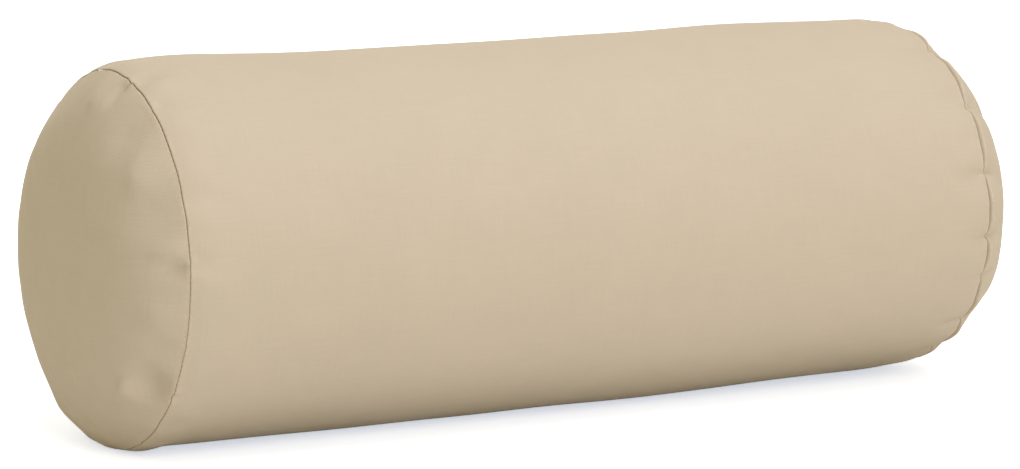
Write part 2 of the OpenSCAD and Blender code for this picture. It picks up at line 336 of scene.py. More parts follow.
def disc_grid(steps):
    """Radius and angle of a disc grid, with its rim's vertices and their angles in order."""
    radius, angle = square_to_disc(steps)
    rim = np.round(radius * steps / 2).astype(int) == steps // 2
    order = np.argsort(np.mod(angle[rim] + 1e-9, TURN))
    rim_ids = np.flatnonzero(rim.ravel())[order]
    return radius, angle, rim_ids, np.mod(angle.ravel()[rim_ids] + 1e-9, TURN)


def flat_uv(radius, angle):
    return around(0, radius, angle)[..., 1:].reshape(-1, 2)


# ---------------------------------------------------------------- simulation of the stuffed cover
SIM_ROUND, SIM_ALONG = 160, 112
SIM_DISC = SIM_ROUND // 4
SIM_RADIUS = RADIUS * (1 - 0.028)
CUT_TUBE, CUT_DISC = 0.1035, 0.1090            # radii the panels are cut to
SLOW_WAVES = 4                                 # waves round the roll that are left out
CLOTH_SETTINGS = dict(
    quality=5,
    mass=0.3,
    tension_stiffness=15,
    compression_stiffness=15,
    shear_stiffness=4.5,
    bending_stiffness=0.2,
    tension_damping=5,
    compression_damping=5,
    shear_damping=5,
    bending_damping=0.5,
    air_damping=1,
    use_pressure=True,
    uniform_pressure_force=6.5,
)


def cloth_shape():
    """Tube and two discs joined at their rims: start points, cut points, faces, disc ids."""
    angle = TURN * np.arange(SIM_ROUND) / SIM_ROUND
    x = np.linspace(-SEAM_X, SEAM_X, SIM_ALONG + 1)
    inner = np.clip((SEAM_X - np.abs(x)) / 0.020, 0, 1)
    radius = SIM_RADIUS + (RADIUS - SIM_RADIUS) * (1 - (1 - inner) ** 3)
    start = [around(x[:, None], radius[:, None], angle).reshape(-1, 3)]
    cut = [around(x[:, None], CUT_TUBE, angle).reshape(-1, 3)]
    faces = [grid_faces(numbered(0, SIM_ALONG + 1, SIM_ROUND), wrap=True)]
    low, high = 1e-3, 1.5                      # a cap with the disc's cut radius as its arc
    for _ in range(60):
        half_angle = (low + high) / 2
        if math.sin(half_angle) / half_angle > CUT_TUBE / CUT_DISC:
            low = half_angle
        else:
            high = half_angle
    cap_radius = CUT_DISC / half_angle
    share, turn = square_to_disc(SIM_DISC)
    rim = share > 1 - 1e-9
    base = (SIM_ALONG + 1) * SIM_ROUND
    disc_ids = {}
    for side in (-1, 1):
        ids = np.zeros((SIM_DISC + 1, SIM_DISC + 1), int)
        column = np.round(np.mod(turn, TURN) / TURN * SIM_ROUND).astype(int) % SIM_ROUND
        ids[rim] = (0 if side < 0 else SIM_ALONG) * SIM_ROUND + column[rim]
        ids[~rim] = base + np.arange((~rim).sum())
        base += int((~rim).sum())
        q, a = share[~rim], turn[~rim]
        start.append(around(side * (SEAM_X + DOME * (1 - q**4.4)), SIM_RADIUS * q, a))
        bend = half_angle * q
        cap_x = SEAM_X + cap_radius * (np.cos(bend) - math.cos(half_angle))
        cut.append(around(side * cap_x, cap_radius * np.sin(bend), a))
        faces.append(grid_faces(ids, flip=side > 0))
        disc_ids[side] = ids
    start = np.concatenate(start)
    angle = np.arctan2(start[:, 2], start[:, 1])
    for side, seed in ((-1, 7), (1, 19)):      # uneven easing of the two seams
        near = bell(start[:, 0] - side * SEAM_X, 0.02)
        easing = ring_noise(angle, seed, waves=range(8, 40), power=0.2)
        start += (near * easing * 0.0007)[:, None] * outward(angle)
    return start, np.concatenate(cut), np.concatenate(faces), disc_ids


def fine_part(values, axis):
    """The values without their slowest waves along an axis."""
    waves = np.fft.rfft(values, axis=axis)
    np.moveaxis(waves, axis, 0)[:SLOW_WAVES] = 0
    return np.fft.irfft(waves, values.shape[axis], axis=axis)


def roll_offsets(points, angle):
    """Points as radius, distance round from the angle, and x."""
    radius = np.hypot(points[..., 1], points[..., 2])
    away = wrap(np.arctan2(points[..., 2], points[..., 1]) - angle)
    return np.stack([radius, radius * away, points[..., 0]], -1)


def simulate():
    """A flat-cut cloth tube and two discs, sewn together and blown up by their filling.

    Returns its wrinkles as (radial, round, x) offsets on the tube grid and each disc grid."""
    start, cut, faces, disc_ids = cloth_shape()
    ob = face_outward(make("sim_cloth", start, faces))
    ob.shape_key_add(name="Basis")
    key = ob.shape_key_add(name="cut")
    key.data.foreach_set("co", cut.astype(np.float32).ravel())
    key.value = 0
    modifier = ob.modifiers.new("cloth", "CLOTH")
    for name, value in CLOTH_SETTINGS.items():
        setattr(modifier.settings, name, value)
    modifier.settings.effector_weights.gravity = 0
    modifier.settings.rest_shape_key = key
    modifier.collision_settings.use_collision = False
    modifier.collision_settings.use_self_collision = False
    scene = bpy.context.scene
    scene.frame_start, scene.frame_end = 1, 20
    modifier.point_cache.frame_end = 20
    for f in range(1, 17):
        scene.frame_set(f)
    evaluated = ob.evaluated_get(bpy.context.evaluated_depsgraph_get())
    points = np.empty(len(start) * 3, np.float32)
    evaluated.data.vertices.foreach_get("co", points)
    points = points.reshape(-1, 3).astype(float)
    bpy.data.objects.remove(ob)
    scene.frame_set(1)

    rows = SIM_ALONG + 1
    tube_points = points[: rows * SIM_ROUND].reshape(rows, SIM_ROUND, 3)
    columns = TURN * np.arange(SIM_ROUND) / SIM_ROUND
    tube = fine_part(roll_offsets(tube_points, columns[None]), axis=1)
    share, angle = square_to_disc(SIM_DISC)
    ring = np.round(share * SIM_DISC / 2).astype(int)
    discs = {}
    for side in (-1, 1):
        offsets = roll_offsets(points[disc_ids[side]], angle)
        offsets[SIM_DISC // 2, SIM_DISC // 2, 1] = 0
        discs[side] = np.zeros_like(offsets)
        for k in range(1, SIM_DISC // 2 + 1):
            on_ring = ring == k
            order = np.argsort(np.mod(angle[on_ring], TURN))
            back = np.empty((len(order), 3))
            back[order] = fine_part(offsets[on_ring][order], axis=0)
            discs[side][on_ring] = back
    return tube, discs


SIM_TUBE, SIM_ENDS = simulate()

# ---------------------------------------------------------------- the stuffed shape: tables
# shrink: loss of radius at the seam; taper: length of that loss, in radii
# dome, power: bulge of the end in radii, and how square its edge is
# lean, skew: the end's tilt with height, and how its bulge varies with height
# sag: drop of the underside in radii; gain: strength of the simulated wrinkles
ENDS = {
    -1: dict(shrink=0.031, taper=0.177, dome=0.262, power=4.3, lean=0.019, skew=0.0,
             sag=0.035, gain=0.55),
    1: dict(shrink=0.025, taper=0.371, dome=0.355, power=4.9, lean=0.017, skew=0.05,
            sag=-0.008, gain=0.6),
}
# lobe, wander, crease, micro: sizes of the seam's unevenness
# tube_rim, end_rim: how far each panel's edge rolls in
# step: how far the end panel stands proud of the tube between gathers
# groove, hold, hold_power: depth of the roll-in, and how gathers hold it up
# relief, relief_at, relief_spread: a shallower stretch, its place and spread in degrees
SEAMS = {
    -1: dict(lobe=0.8 * MM, wander=0.6 * MM, crease=0.9 * MM, micro=0.14 * MM,
             tube_rim=0.75 * MM, end_rim=1.15 * MM, step=0.3 * MM, step_power=0.5,
             groove=0.9, hold=0.4, hold_power=1.5, relief=0.5, relief_at=198, relief_spread=20),
    1: dict(lobe=2.5 * MM, wander=2.4 * MM, crease=0.95 * MM, micro=0.22 * MM,
            tube_rim=0.95 * MM, end_rim=1.5 * MM, step=2.3 * MM, step_power=0.9,
            groove=1.7, hold=0.9, hold_power=1.1, relief=0.6, relief_at=253, relief_spread=9),
}
# where the sewing gathers the cloth, in rising degrees round each seam, and how strongly
GATHERS = {
    -1: np.array([
        (12, 0.5), (41, 0.9), (63, 0.4), (83, 0.4), (105, 1.0), (122, 0.6), (148, 0.25),
        (174, 0.9), (196, 0.3), (217, 0.8), (243, 0.5), (268, 0.8), (292, 0.5), (314, 1.0),
        (341, 0.6),
    ]),
    1: np.array([
        (8, 0.9), (29, 0.8), (51, 0.9), (74, 0.5), (95, 0.2), (116, 1.0), (143, 1.0),
        (165, 0.9), (186, 1.0), (200, 0.8), (220, 1.0), (241, 0.5), (262, 0.45), (283, 1.0),
        (305, 0.8), (326, 1.0), (347, 0.9),
    ]),
}
# soft dents in the end panels:
# fraction of the radius, degrees, depth in mm, spread in fractions, spread in degrees
DENTS = {
    -1: [
        (0.900, 216, 12.0, 0.064, 5.6), (0.830, 225, -4.2, 0.050, 5.0),
        (0.940, 174, 4.6, 0.055, 2.4), (0.920, 169, -2.0, 0.080, 3.4),
        (0.950, 104.5, 3.2, 0.060, 1.9), (0.880, 97, -2.8, 0.075, 5.0),
        (0.900, 60, 1.2, 0.100, 15), (0.860, 141, -3.4, 0.085, 7.5),
        (0.870, 123, 2.6, 0.100, 6.5), (0.860, 157, 2.0, 0.100, 7.0),
        (0.880, 190, -2.2, 0.090, 6.0), (0.890, 200, 1.6, 0.070, 4.0),
        (0.930, 266, -2.2, 0.080, 14), (0.880, 20, 2.0, 0.075, 6.5),
        (0.860, 320, 2.2, 0.085, 8.0), (0.880, 290, -2.0, 0.070, 7.0),
    ],
    1: [
        (0.880, 60, 3.2, 0.080, 7.0), (0.920, 114, 2.4, 0.075, 6.0),
        (0.750, 212, -2.6, 0.150, 15.0), (0.920, 232, 1.4, 0.090, 8.0),
        (0.920, 254, -7.0, 0.110, 8.5), (0.880, 300, 3.2, 0.075, 8.0),
        (0.880, 20, -2.4, 0.080, 8.0), (0.880, 340, 2.5, 0.070, 5.0),
    ],
}
# small tucks in the tube beside the left seam:
# mm from the seam, degrees, depth in mm, spread along in mm, spread round in degrees
LEFT_TUCKS = [
    (8, 106.5, 1.9, 7, 3.2), (11, 112, -0.9, 8, 3.0), (6, 120, 0.8, 5, 2.6),
    (7, 172, 1.1, 6, 2.4), (6, 213, 0.9, 6, 3.0),
]
# where the stuffed ends are less round: degrees, change of radius in mm, spread in degrees
FLATS = {-1: [(62, -1.7, 20), (262, -1.0, 16)], 1: [(118, -1.3, 8), (236, -1.3, 14)]}


# ---------------------------------------------------------------- the stuffed shape: seams
def gather_span(side, angle):
    """Share of the way from one gather to the next, and the strength of the gathers there."""
    places, strengths = np.radians(GATHERS[side][:, 0]), GATHERS[side][:, 1]
    angle = np.mod(angle, TURN)
    after = np.searchsorted(places, angle) % len(places)
    before = (after - 1) % len(places)
    gap = np.mod(places[after] - places[before], TURN)
    share = np.clip(np.mod(angle - places[before], TURN) / gap, 0, 1)
    return share, smooth(1 - share) * strengths[before] + smooth(share) * strengths[after]


def lobes(side, angle):
    """0 at each gather and 1 midway between two, with the strength."""
    share, strength = gather_span(side, angle)
    return np.sin(PI * share) ** 0.8, strength


def seam_shift(side, from_seam, angle):
    """The seam line wanders out between gathers and in at them."""
    share, strength = gather_span(side, angle)
    wave = share**0.4 * (1 - share) ** 0.6 / 0.51
    fade = np.exp(-((np.abs(from_seam) / (13 * MM)) ** 1.4))
    return SEAMS[side]["wander"] * strength * (wave - 0.6) * fade


def left_tucks(from_seam, angle):
    out = 0
    for place, degrees, depth, along, spread in LEFT_TUCKS:
        dent = bell(from_seam - place * MM, along * MM) * bell(degrees_from(angle, degrees), spread)
        out = out - depth * MM * dent
    return out * smooth((from_seam - 0.3 * MM) / (4 * MM))


def flats(side, from_seam, angle):
    out = 0
    for degrees, change, spread in FLATS[side]:
        out = out + change * MM * bell(degrees_from(angle, degrees), spread)
    return out * bell(from_seam, 26 * MM)


def creases(side, from_seam, angle):
    """Short folds that cross the seam at each gather: a valley between two ridges."""
    out = 0
    for n, (degrees, strength) in enumerate(GATHERS[side]):
        rng = np.random.default_rng(400 + n * 7 + side)
        slant = rng.uniform(-0.25, 0.25)
        width = rng.uniform(1.7, 2.5) * MM
        length = rng.uniform(5, 11) * MM
        ridge = rng.uniform(2.4, 3.6) * MM
        across = wrap(angle - math.radians(degrees)) * RADIUS + slant * from_seam
        width = width * (1 + np.abs(from_seam) / (14 * MM))
        fade = np.exp(-np.abs(from_seam) / length) * strength
        ridges = bell(across - ridge, width) + bell(across + ridge * 1.1, width)
        out = out - 0.95 * fade * bell(across, width) + 0.45 * fade * ridges
    return out * SEAMS[side]["crease"]


def seam_gather(side, from_seam, angle):
    """Offset outward where the sewing gathers the cloth, on either side of a seam."""
    from_seam = np.abs(from_seam)
    fine = ring_noise(angle, 31 + side, waves=range(18, 60), power=0.1)
    coarse = ring_noise(angle, 57 + side, waves=range(9, 24), power=0.0)
    uneven = 0.6 * fine + 0.4 * coarse
    micro = SEAMS[side]["micro"] * uneven * np.exp(-from_seam / (6 * MM))
    lobe, strength = lobes(side, angle)
    rise = 0.45 + 0.55 * smooth(from_seam / (6 * MM))
    rise = rise * np.exp(-((from_seam / (17 * MM)) ** 1.3))
    swell = SEAMS[side]["lobe"] * strength * (lobe - 0.62) * rise
    return micro + swell + creases(side, from_seam, angle) + flats(side, from_seam, angle)


def step_profile(side, angle):
    lobe, strength = lobes(side, angle)
    return np.clip(lobe, 0, 1) ** SEAMS[side]["step_power"] * np.clip(strength, 0, 1)


def groove(side, angle):
    """The sewn edges roll in fully between gathers and are held up at them."""
    seam = SEAMS[side]
    lobe, strength = lobes(side, angle)
    held = seam["hold"] * np.clip(strength, 0, 1) * (1 - lobe) ** seam["hold_power"]
    degrees = np.degrees(np.mod(angle, TURN))
    relief = seam["relief"] * bell(degrees - seam["relief_at"], seam["relief_spread"])
    return seam["groove"] * (1 - held) * (1 - relief)


# ---------------------------------------------------------------- the stuffed shape: surfaces
def dome_height(side, q):
    return ENDS[side]["dome"] * RADIUS * (1 - q ** ENDS[side]["power"])


def dome_arc(side, last, count):
    """Fractions q from the seam inward to the last one, and cloth length from the seam."""
    q = np.linspace(1, last, count)
    radius = q * RADIUS * (1 - ENDS[side]["shrink"])
    lengths = np.hypot(np.diff(dome_height(side, q)), np.diff(radius))
    return q, np.concatenate([[0], np.cumsum(lengths)])


ARCS = {side: dome_arc(side, last=0, count=800) for side in (-1, 1)}


def settle(points):
    """Sink the underside a little and lay it on the floor. The origin is on the axis."""
    z = points[..., 2]
    z = np.where(z < 0, z * (0.965 - 0.020 * smooth((points[..., 0] - 0.06) / 0.15)), z)
    blend = 2.2 * MM
    floor_z = -AXIS_Z + 0.25 * MM
    above = z - floor_z
    lift = 0.5 * (above + np.sqrt(above * above + blend * blend))
    points[..., 2] = floor_z + lift - 0.5 * blend * np.exp(-np.abs(above) / (3 * blend))
    return points


def zip_distance(angle):
    return np.abs(wrap(angle - ZIP_ANGLE))


def zip_weight(x, angle):
    """1 along the zip, where the cover keeps its plain round shape."""
    near = smooth((math.radians(42) - zip_distance(angle)) / math.radians(26))
    return near * smooth((SEAM_X - 12 * MM - np.abs(x)) / (14 * MM))


def tube_point(x, angle):
    """Point on the cover's tube panel: x along the roll at rest, angle round it."""
    x, angle = np.broadcast_arrays(x, angle)
    left = x < 0
    side = np.where(left, -1, 1)
    end = {key: np.where(left, ENDS[-1][key], ENDS[1][key]) for key in ENDS[1]}
    height = np.sin(angle)
    from_seam = SEAM_X - np.abs(x)
    inner = np.clip(from_seam / (end["taper"] * RADIUS), 0, 1)
    radius = RADIUS * (1 - end["shrink"] * (1 - inner) ** 3)
    # slight fullness above, towards each end, and a slight waist between
    radius = radius + np.clip(height, 0, 1) * (
        1.7 * MM * bell(x + SEAM_X - 40 * MM, 34 * MM)
        + 1.2 * MM * bell(x - SEAM_X + 95 * MM, 50 * MM)
        - 0.7 * MM * bell(x + 60 * MM, 90 * MM)
    )
    # soft unevenness of the filling
    broad = field_noise(angle, x, seed=5, count=14, turns=(1, 5), rates=(-40, 40))
    small = field_noise(angle, x, seed=6, count=14, turns=(4, 14), rates=(-90, 90))
    radius = radius + smooth(from_seam / (30 * MM)) * (0.28 * MM * broad + 0.10 * MM * small)
    by_zip = zip_weight(x, angle)
    soft = 1 - 0.85 * by_zip
    gain = ENDS[-1]["gain"] + (ENDS[1]["gain"] - ENDS[-1]["gain"]) * smooth((x + 0.1) / 0.2)
    row = (x / SEAM_X * 0.5 + 0.5) * SIM_ALONG
    folds = lookup(SIM_TUBE, row, np.mod(angle, TURN) / TURN * SIM_ROUND, wrap_cols=True)
    folds = folds * ((0.4 + 0.6 * smooth(from_seam / (14 * MM))) * gain)[..., None]
    gathers = np.where(
        left,
        seam_gather(-1, from_seam, angle) + left_tucks(from_seam, angle),
        seam_gather(1, from_seam, angle),
    )
    radius = radius + (folds[..., 0] + gathers) * soft
    shift = np.where(
        left, seam_shift(-1, from_seam, angle), seam_shift(1, from_seam, angle)
    )
    lean = end["lean"] * smooth((90 * MM - from_seam) / (90 * MM))
    moved_x = side * (np.abs(x) - lean * radius * height) + folds[..., 2] * soft + side * shift
    points = around(moved_x, radius, angle + folds[..., 1] * soft / RADIUS)
    points[..., 2] -= end["sag"] * RADIUS * np.clip(-height, 0, 1) ** 2 * (1 - inner)
    points = settle(points)
    plain = RADIUS * (1 - 0.03 * (1 - np.clip(from_seam / (24 * MM), 0, 1)) ** 3)
    points = points + (around(x, plain, angle) - points) * by_zip[..., None]
    points[..., 2] += AXIS_Z
    return points


def disc_point(side, q, angle):
    """Point on an end panel: q from 0 at its middle to 1 at the seam, angle round it."""
    q, angle = np.broadcast_arrays(q, angle)
    end = ENDS[side]
    height = np.sin(angle)
    radius = RADIUS * (1 - end["shrink"]) * q
    inward = (1 - q) * SIM_RADIUS
    row, col = disc_to_square(q, angle)
    row, col = (row + 1) / 2 * SIM_DISC, (col + 1) / 2 * SIM_DISC
    folds = lookup(SIM_ENDS[side], row, col, wrap_cols=False)
    strength = end["gain"] * np.where(q < 0.999, 1.0 - 0.3 * smooth(inward / (10 * MM)), 1.0)
    folds = folds * (strength * (0.4 + 0.6 * smooth(inward / (14 * MM))))[..., None]
    arc_q, arc = ARCS[side]
    from_seam = np.interp(q, arc_q[::-1], arc[::-1])
    rise = dome_height(side, q)
    x = SEAM_X + rise * (1 - end["skew"] * q * height) - end["lean"] * radius * height
    x = x + side * folds[..., 2] * smooth(q * 4) + seam_shift(side, from_seam, angle)
    uneven = field_noise(angle, q, seed=11 + side, count=8, turns=(1, 3), rates=(-5, 5))
    x = x + smooth(from_seam / (25 * MM)) * 0.5 * MM * uneven * smooth(q * 3)
    sunk = 0
    for place, degrees, depth, spread, round_spread in DENTS[side]:
        dent = bell(q - place, spread) * bell(degrees_from(angle, degrees), round_spread)
        sunk = sunk + depth * MM * dent
    sunk = sunk * smooth((from_seam - 0.2 * MM) / (5 * MM))
    # dents never reach down to the seam allowance
    rise = np.clip(rise, 0, 1)
    room = np.maximum(0.92 * rise**2 / (rise + 2.4 * MM), 0.002 * MM)
    x = x - np.where(sunk > 0, room * np.tanh(sunk / room), sunk)
    radius = radius + folds[..., 0] + seam_gather(side, from_seam, angle)
    points = around(side * x, radius, angle + folds[..., 1] / RADIUS)
    points[..., 2] -= end["sag"] * RADIUS * np.clip(-height, 0, 1) ** 2 * q**2
    points = settle(points)
    points[..., 2] += AXIS_Z
    return points


# ---------------------------------------------------------------- cover panels
ALLOWANCE = [1.6 * MM, 3.2 * MM, 5.2 * MM, 7.6 * MM]   # depths of the seam allowance's rows
# distances of the panel rows from a seam, fine to coarse
SEAM_STEPS = MM * np.array([
    1.1, 1.6, 2.2, 3.1, 4.0, 5.1, 6.4, 8.0, 10, 12.2, 14.6, 17.2, 20, 23, 26, 29.2, 32.6, 36,
])
# extra rows near each end of the zip opening, in mm past it
SLOT_ROWS = (-2.8, -1.8, -1.1, -0.5, 0.1, 0.7, 1.3, 2.2, 3.6)
FOLD = 1.05 * MM                               # radius of the folded edge beside the zip
STITCH_IN = 3.0 * MM                           # from that edge to its topstitching
# the topstitched dimple beside the zip: mm from the panel's edge, depth in mm
DIMPLE = (
    (1.5, 0), (2.0, 0.04), (2.35, 0.14), (2.7, 0.30), (3.0, 0.36), (3.3, 0.30), (3.65, 0.14),
    (4.1, 0.04), (4.8, 0), (5.8, 0), (7.2, 0), (9.0, 0), (11.0, 0), (12.0, 0),
)
MAIN_COLS = 392
OVERLAP = 0.04 * MM                            # keeps the two sewn panels just apart


def rolled(rim):
    """Quarter turn into the seam: (distance from the seam, depth) of each row."""
    turns = np.linspace(0, PI / 2, 7)
    return [(rim * (1 - math.sin(t)), rim * (1 - math.cos(t))) for t in turns]


def panel_rows(rim):
    return np.concatenate([[rim], SEAM_STEPS[SEAM_STEPS > rim + 0.3 * MM]])


def tube_rows():
    """Rows of the tube: x, distance from the seam, share of the roll-in, allowance depth."""
    ends = {}
    for side in (-1, 1):
        rim = SEAMS[side]["tube_rim"]
        rows = [(0.0, 1.0, depth) for depth in ALLOWANCE[::-1]]
        rows += [(inward, depth / rim, 0.0) for inward, depth in rolled(rim)[:0:-1]]
        rows += [(inward, 0.0, 0.0) for inward in panel_rows(rim)]
        ends[side] = [(side * (SEAM_X - row[0]), *row) for row in rows]
    inner = list(np.linspace(-0.1975, 0.1975, 92))
    for past in SLOT_ROWS:
        inner += [SLOT_X + past * MM, -SLOT_X - past * MM]
    middle = [(x, SEAM_X - abs(x), 0.0, 0.0) for x in sorted(inner)]
    return np.array(ends[-1] + middle + ends[1][::-1])


def edge_columns():
    """Columns beside the zip: distance from the edge, depth outside, depth inside."""
    turn = np.linspace(0, PI / 2, 6)
    fold = FOLD * np.stack([1 - np.cos(turn), 1 - np.sin(turn), 1 + np.sin(turn)], -1)
    double = [(place * MM, depth * MM, 2 * FOLD) for place, depth in DIMPLE]
    single = [(13.0 * MM, 0, CLOTH + 0.4 * MM), (15.0 * MM, 0, CLOTH)]
    return np.concatenate([fold, np.array(double), np.array(single)]).T


def edge_line(x):
    """How far the cover's edge stands from the zip's centre line."""
    closed = 0.16 * MM
    return closed + (SLOT_HALF - closed) * smooth((SLOT_X + 1.2 * MM - np.abs(x)) / (2.4 * MM))


def mirrored(edge, middle):
    return np.concatenate([edge, middle, edge[..., ::-1]], -1)


def thinned(count):
    """Every second index, with the two at each end."""
    return np.array(sorted(set(range(0, count, 2)) | {count - 1, 1, count - 2}))


def seam_normals(normal, side, from_seam, angle):
    """Close to a seam both panels share one direction of thickness."""
    common = outward(angle) + side[..., None] * np.array([0.45, 0, 0])
    weight = smooth(from_seam / (5 * MM))[..., None]
    return unit(normal * weight + unit(common) * (1 - weight))


def build_tube():
    row_x, from_seam, roll, allow = (column[:, None] for column in tube_rows().T)
    from_edge, outer_depth, inner_depth = edge_columns()
    side = np.sign(row_x)
    edge = edge_line(row_x)
    beside_zip = (edge + from_edge) / RADIUS
    span = (edge + from_edge[-1]) / RADIUS
    main = span + (TURN - 2 * span) * np.linspace(0, 1, MAIN_COLS + 2)[1:-1]
    # turned from the zip towards the lower side first
    turn = np.concatenate([beside_zip, main, TURN - beside_zip[:, ::-1]], 1)
    angle = ZIP_ANGLE - turn
    rows, cols = turn.shape

    along_slot = smooth((SLOT_X + 0.6 * MM - np.abs(row_x)) / (1.6 * MM))
    dimple = outer_depth * np.where(from_edge > 1.2 * MM, along_slot, 1.0)
    dimple = mirrored(dimple, np.zeros((rows, MAIN_COLS)))
    thickness = mirrored(inner_depth, np.full(MAIN_COLS, CLOTH))
    points = tube_point(row_x, angle)
    out = outward(angle)
    limit = SEAM_X - 0.4 * MM
    normal = normals(tube_point, np.clip(row_x, -limit, limit), angle, 0.35 * MM, 0.004)
    normal = normal * np.sign((normal * out).sum(-1, keepdims=True))
    normal = seam_normals(normal, side, from_seam, angle)
    rims = {end: SEAMS[end]["tube_rim"] * groove(end, angle) for end in (-1, 1)}
    roll_depth = roll * np.where(row_x < 0, rims[-1], rims[1])
    outer = points - normal * np.sqrt(roll_depth**2 + dimple**2)[..., None]
    inner = points - normal * np.maximum(thickness, roll_depth + 0.4 * MM)[..., None]
    # the allowance hangs straight in from the seam
    outer = outer - out * allow[..., None]
    inner = inner - out * allow[..., None]
    outer[..., 0] += np.where(from_seam < 0.6 * MM, -side * OVERLAP, 0)
    inner[..., 0] -= side * smooth((5 * MM - from_seam) / (4 * MM)) * (CLOTH + OVERLAP)

    # the inner face has every second row and column
    keep_rows, keep_cols = thinned(rows), thinned(cols)
    pick = np.ix_(keep_rows, keep_cols)
    outer_ids = numbered(0, rows, cols)
    inner_ids = numbered(rows * cols, len(keep_rows), len(keep_cols))
    quads = np.concatenate([grid_faces(outer_ids, flip=True), grid_faces(inner_ids)])
    triangles = np.concatenate([
        join_rows(outer_ids[:, 0], inner_ids[:, 0], keep_rows)[:, ::-1],
        join_rows(outer_ids[:, -1], inner_ids[:, -1], keep_rows),
        join_rows(outer_ids[0], inner_ids[0], keep_cols),
        join_rows(outer_ids[-1], inner_ids[-1], keep_cols)[:, ::-1],
    ])
    uv = np.stack([turn * RADIUS, row_x - side * allow + 0 * turn], -1)
    uv = np.concatenate([uv.reshape(-1, 2), uv[pick].reshape(-1, 2)])
    slot_edge = mirrored(bell(from_edge, 1.5 * MM), np.zeros(MAIN_COLS))
    edge_mark = np.maximum(bell(from_seam, 2.2 * MM), slot_edge)
    # painted shade in the seam: rising through the roll-in, full on the allowance and on the inner
    # face
    seam_shade = np.clip(roll + allow / MM, 0, 1) + 0 * turn
    attrs = {
        "edge": np.concatenate([edge_mark.ravel(), edge_mark[pick].ravel()]),
        "seam_shade": np.concatenate([seam_shade.ravel(), np.ones(inner_ids.size)]),
    }
    verts = np.concatenate([outer.reshape(-1, 3), inner[pick].reshape(-1, 3)])
    return face_outward(make("cover_tube", verts, [quads, triangles], uv, attrs))


def build_end(side):
    """End panel: a square grid inside, rings near the seam, an allowance and an inner face."""
    steps = 108
    seam_radius = RADIUS * (1 - ENDS[side]["shrink"])
    rim = SEAMS[side]["end_rim"]
    near = panel_rows(rim)[:9]
    share, grid_angle, rim_ids, angle = disc_grid(steps)
    arc_q, arc = dome_arc(side, last=0.7, count=600)
    # rings: distance from the seam, roll-in depth, allowance depth
    rings = [(inward, 0.0, 0.0) for inward in near[:0:-1]]
    rings += [(inward, depth, 0.0) for inward, depth in rolled(rim)]
    rings += [(0.0, rim, depth) for depth in ALLOWANCE]
    from_seam, roll, allow = (column[:, None] for column in np.array(rings).T)
    ring_q = np.interp(from_seam, arc, arc_q)
    grid_q = share * np.interp(near[-1] + 2.0 * MM, arc, arc_q)

    def surface(q, at_angle):
        return disc_point(side, q, at_angle)

    def surface_normals(q, at_angle):
        normal = normals(surface, q, at_angle, 0.004, 0.01)
        return normal * np.sign(side * normal[..., :1])

    grid_outer = surface(grid_q, grid_angle)
    grid_normal = surface_normals(np.clip(grid_q, 0.02, 0.985), grid_angle)
    grid_inner = grid_outer - grid_normal * CLOTH

    points = surface(ring_q, angle)
    normal = surface_normals(np.clip(ring_q, 0, 0.985), angle)
    normal = seam_normals(normal, np.full_like(angle, side), from_seam, angle)
    proud = SEAMS[side]["step"] * step_profile(side, angle) * np.exp(-from_seam / (7 * MM))
    depth = roll * (groove(side, angle) + proud / rim)
    points = points + normal * proud[..., None]
    hang = outward(angle) * allow[..., None]
    outer = points - normal * depth[..., None] - hang
    outer[..., 0] += np.where(from_seam < 0.6 * MM, side * OVERLAP, 0)
    inner = points - normal * np.maximum(CLOTH, depth + 0.4 * MM)[..., None] - hang
    inner[..., 0] += side * smooth((2.2 * MM - from_seam) / (2 * MM)) * (CLOTH + OVERLAP)

    verts = [part.reshape(-1, 3) for part in (grid_outer, outer, grid_inner, inner)]
    grid_count = (steps + 1) ** 2
    half = grid_count + outer.shape[0] * outer.shape[1]
    ids = numbered(0, steps + 1, steps + 1)
    ring_ids = np.concatenate([rim_ids[None], numbered(grid_count, *outer.shape[:2])])
    faces = np.concatenate([
        grid_faces(ids),
        grid_faces(ring_ids, wrap=True),
        grid_faces(ids + half, flip=True),
        grid_faces(ring_ids + half, wrap=True, flip=True),
        band(ring_ids[-1], ring_ids[-1] + half),
    ])
    grid_uv = flat_uv(grid_q * seam_radius, grid_angle)
    ring_uv = flat_uv(ring_q * seam_radius - allow, angle)
    none = np.zeros(grid_count)
    edge = (bell(from_seam, 2.2 * MM) + 0 * angle).ravel()
    # painted shade in the seam: rising through the roll-in, full on the allowance and on the inner
    # face
    seam_shade = (np.clip(roll / rim + allow / MM, 0, 1) + 0 * angle).ravel()
    attrs = {
        "edge": np.concatenate([none, edge, none, edge]),
        "seam_shade": np.concatenate([none, seam_shade, none + 1, seam_shade * 0 + 1]),
    }
    uv = np.concatenate([grid_uv, ring_uv, grid_uv, ring_uv])
    name = f"cover_end_{END_NAME[side]}_panel"
    return face_outward(make(name, np.concatenate(verts), faces, uv, attrs))


# ---------------------------------------------------------------- material helpers
def add_node(tree, kind, inputs=None, **properties):
    node = tree.nodes.new(kind)
    for key, value in properties.items():
        setattr(node, key, value)
    feed(tree, node, inputs or {})
    return node


def feed(tree, node, inputs):
    """Link each input given as a socket, and set the others."""
    for key, value in inputs.items():
        if isinstance(value, bpy.types.NodeSocket):
            tree.links.new(value, node.inputs[key])
        else:
            node.inputs[key].default_value = value


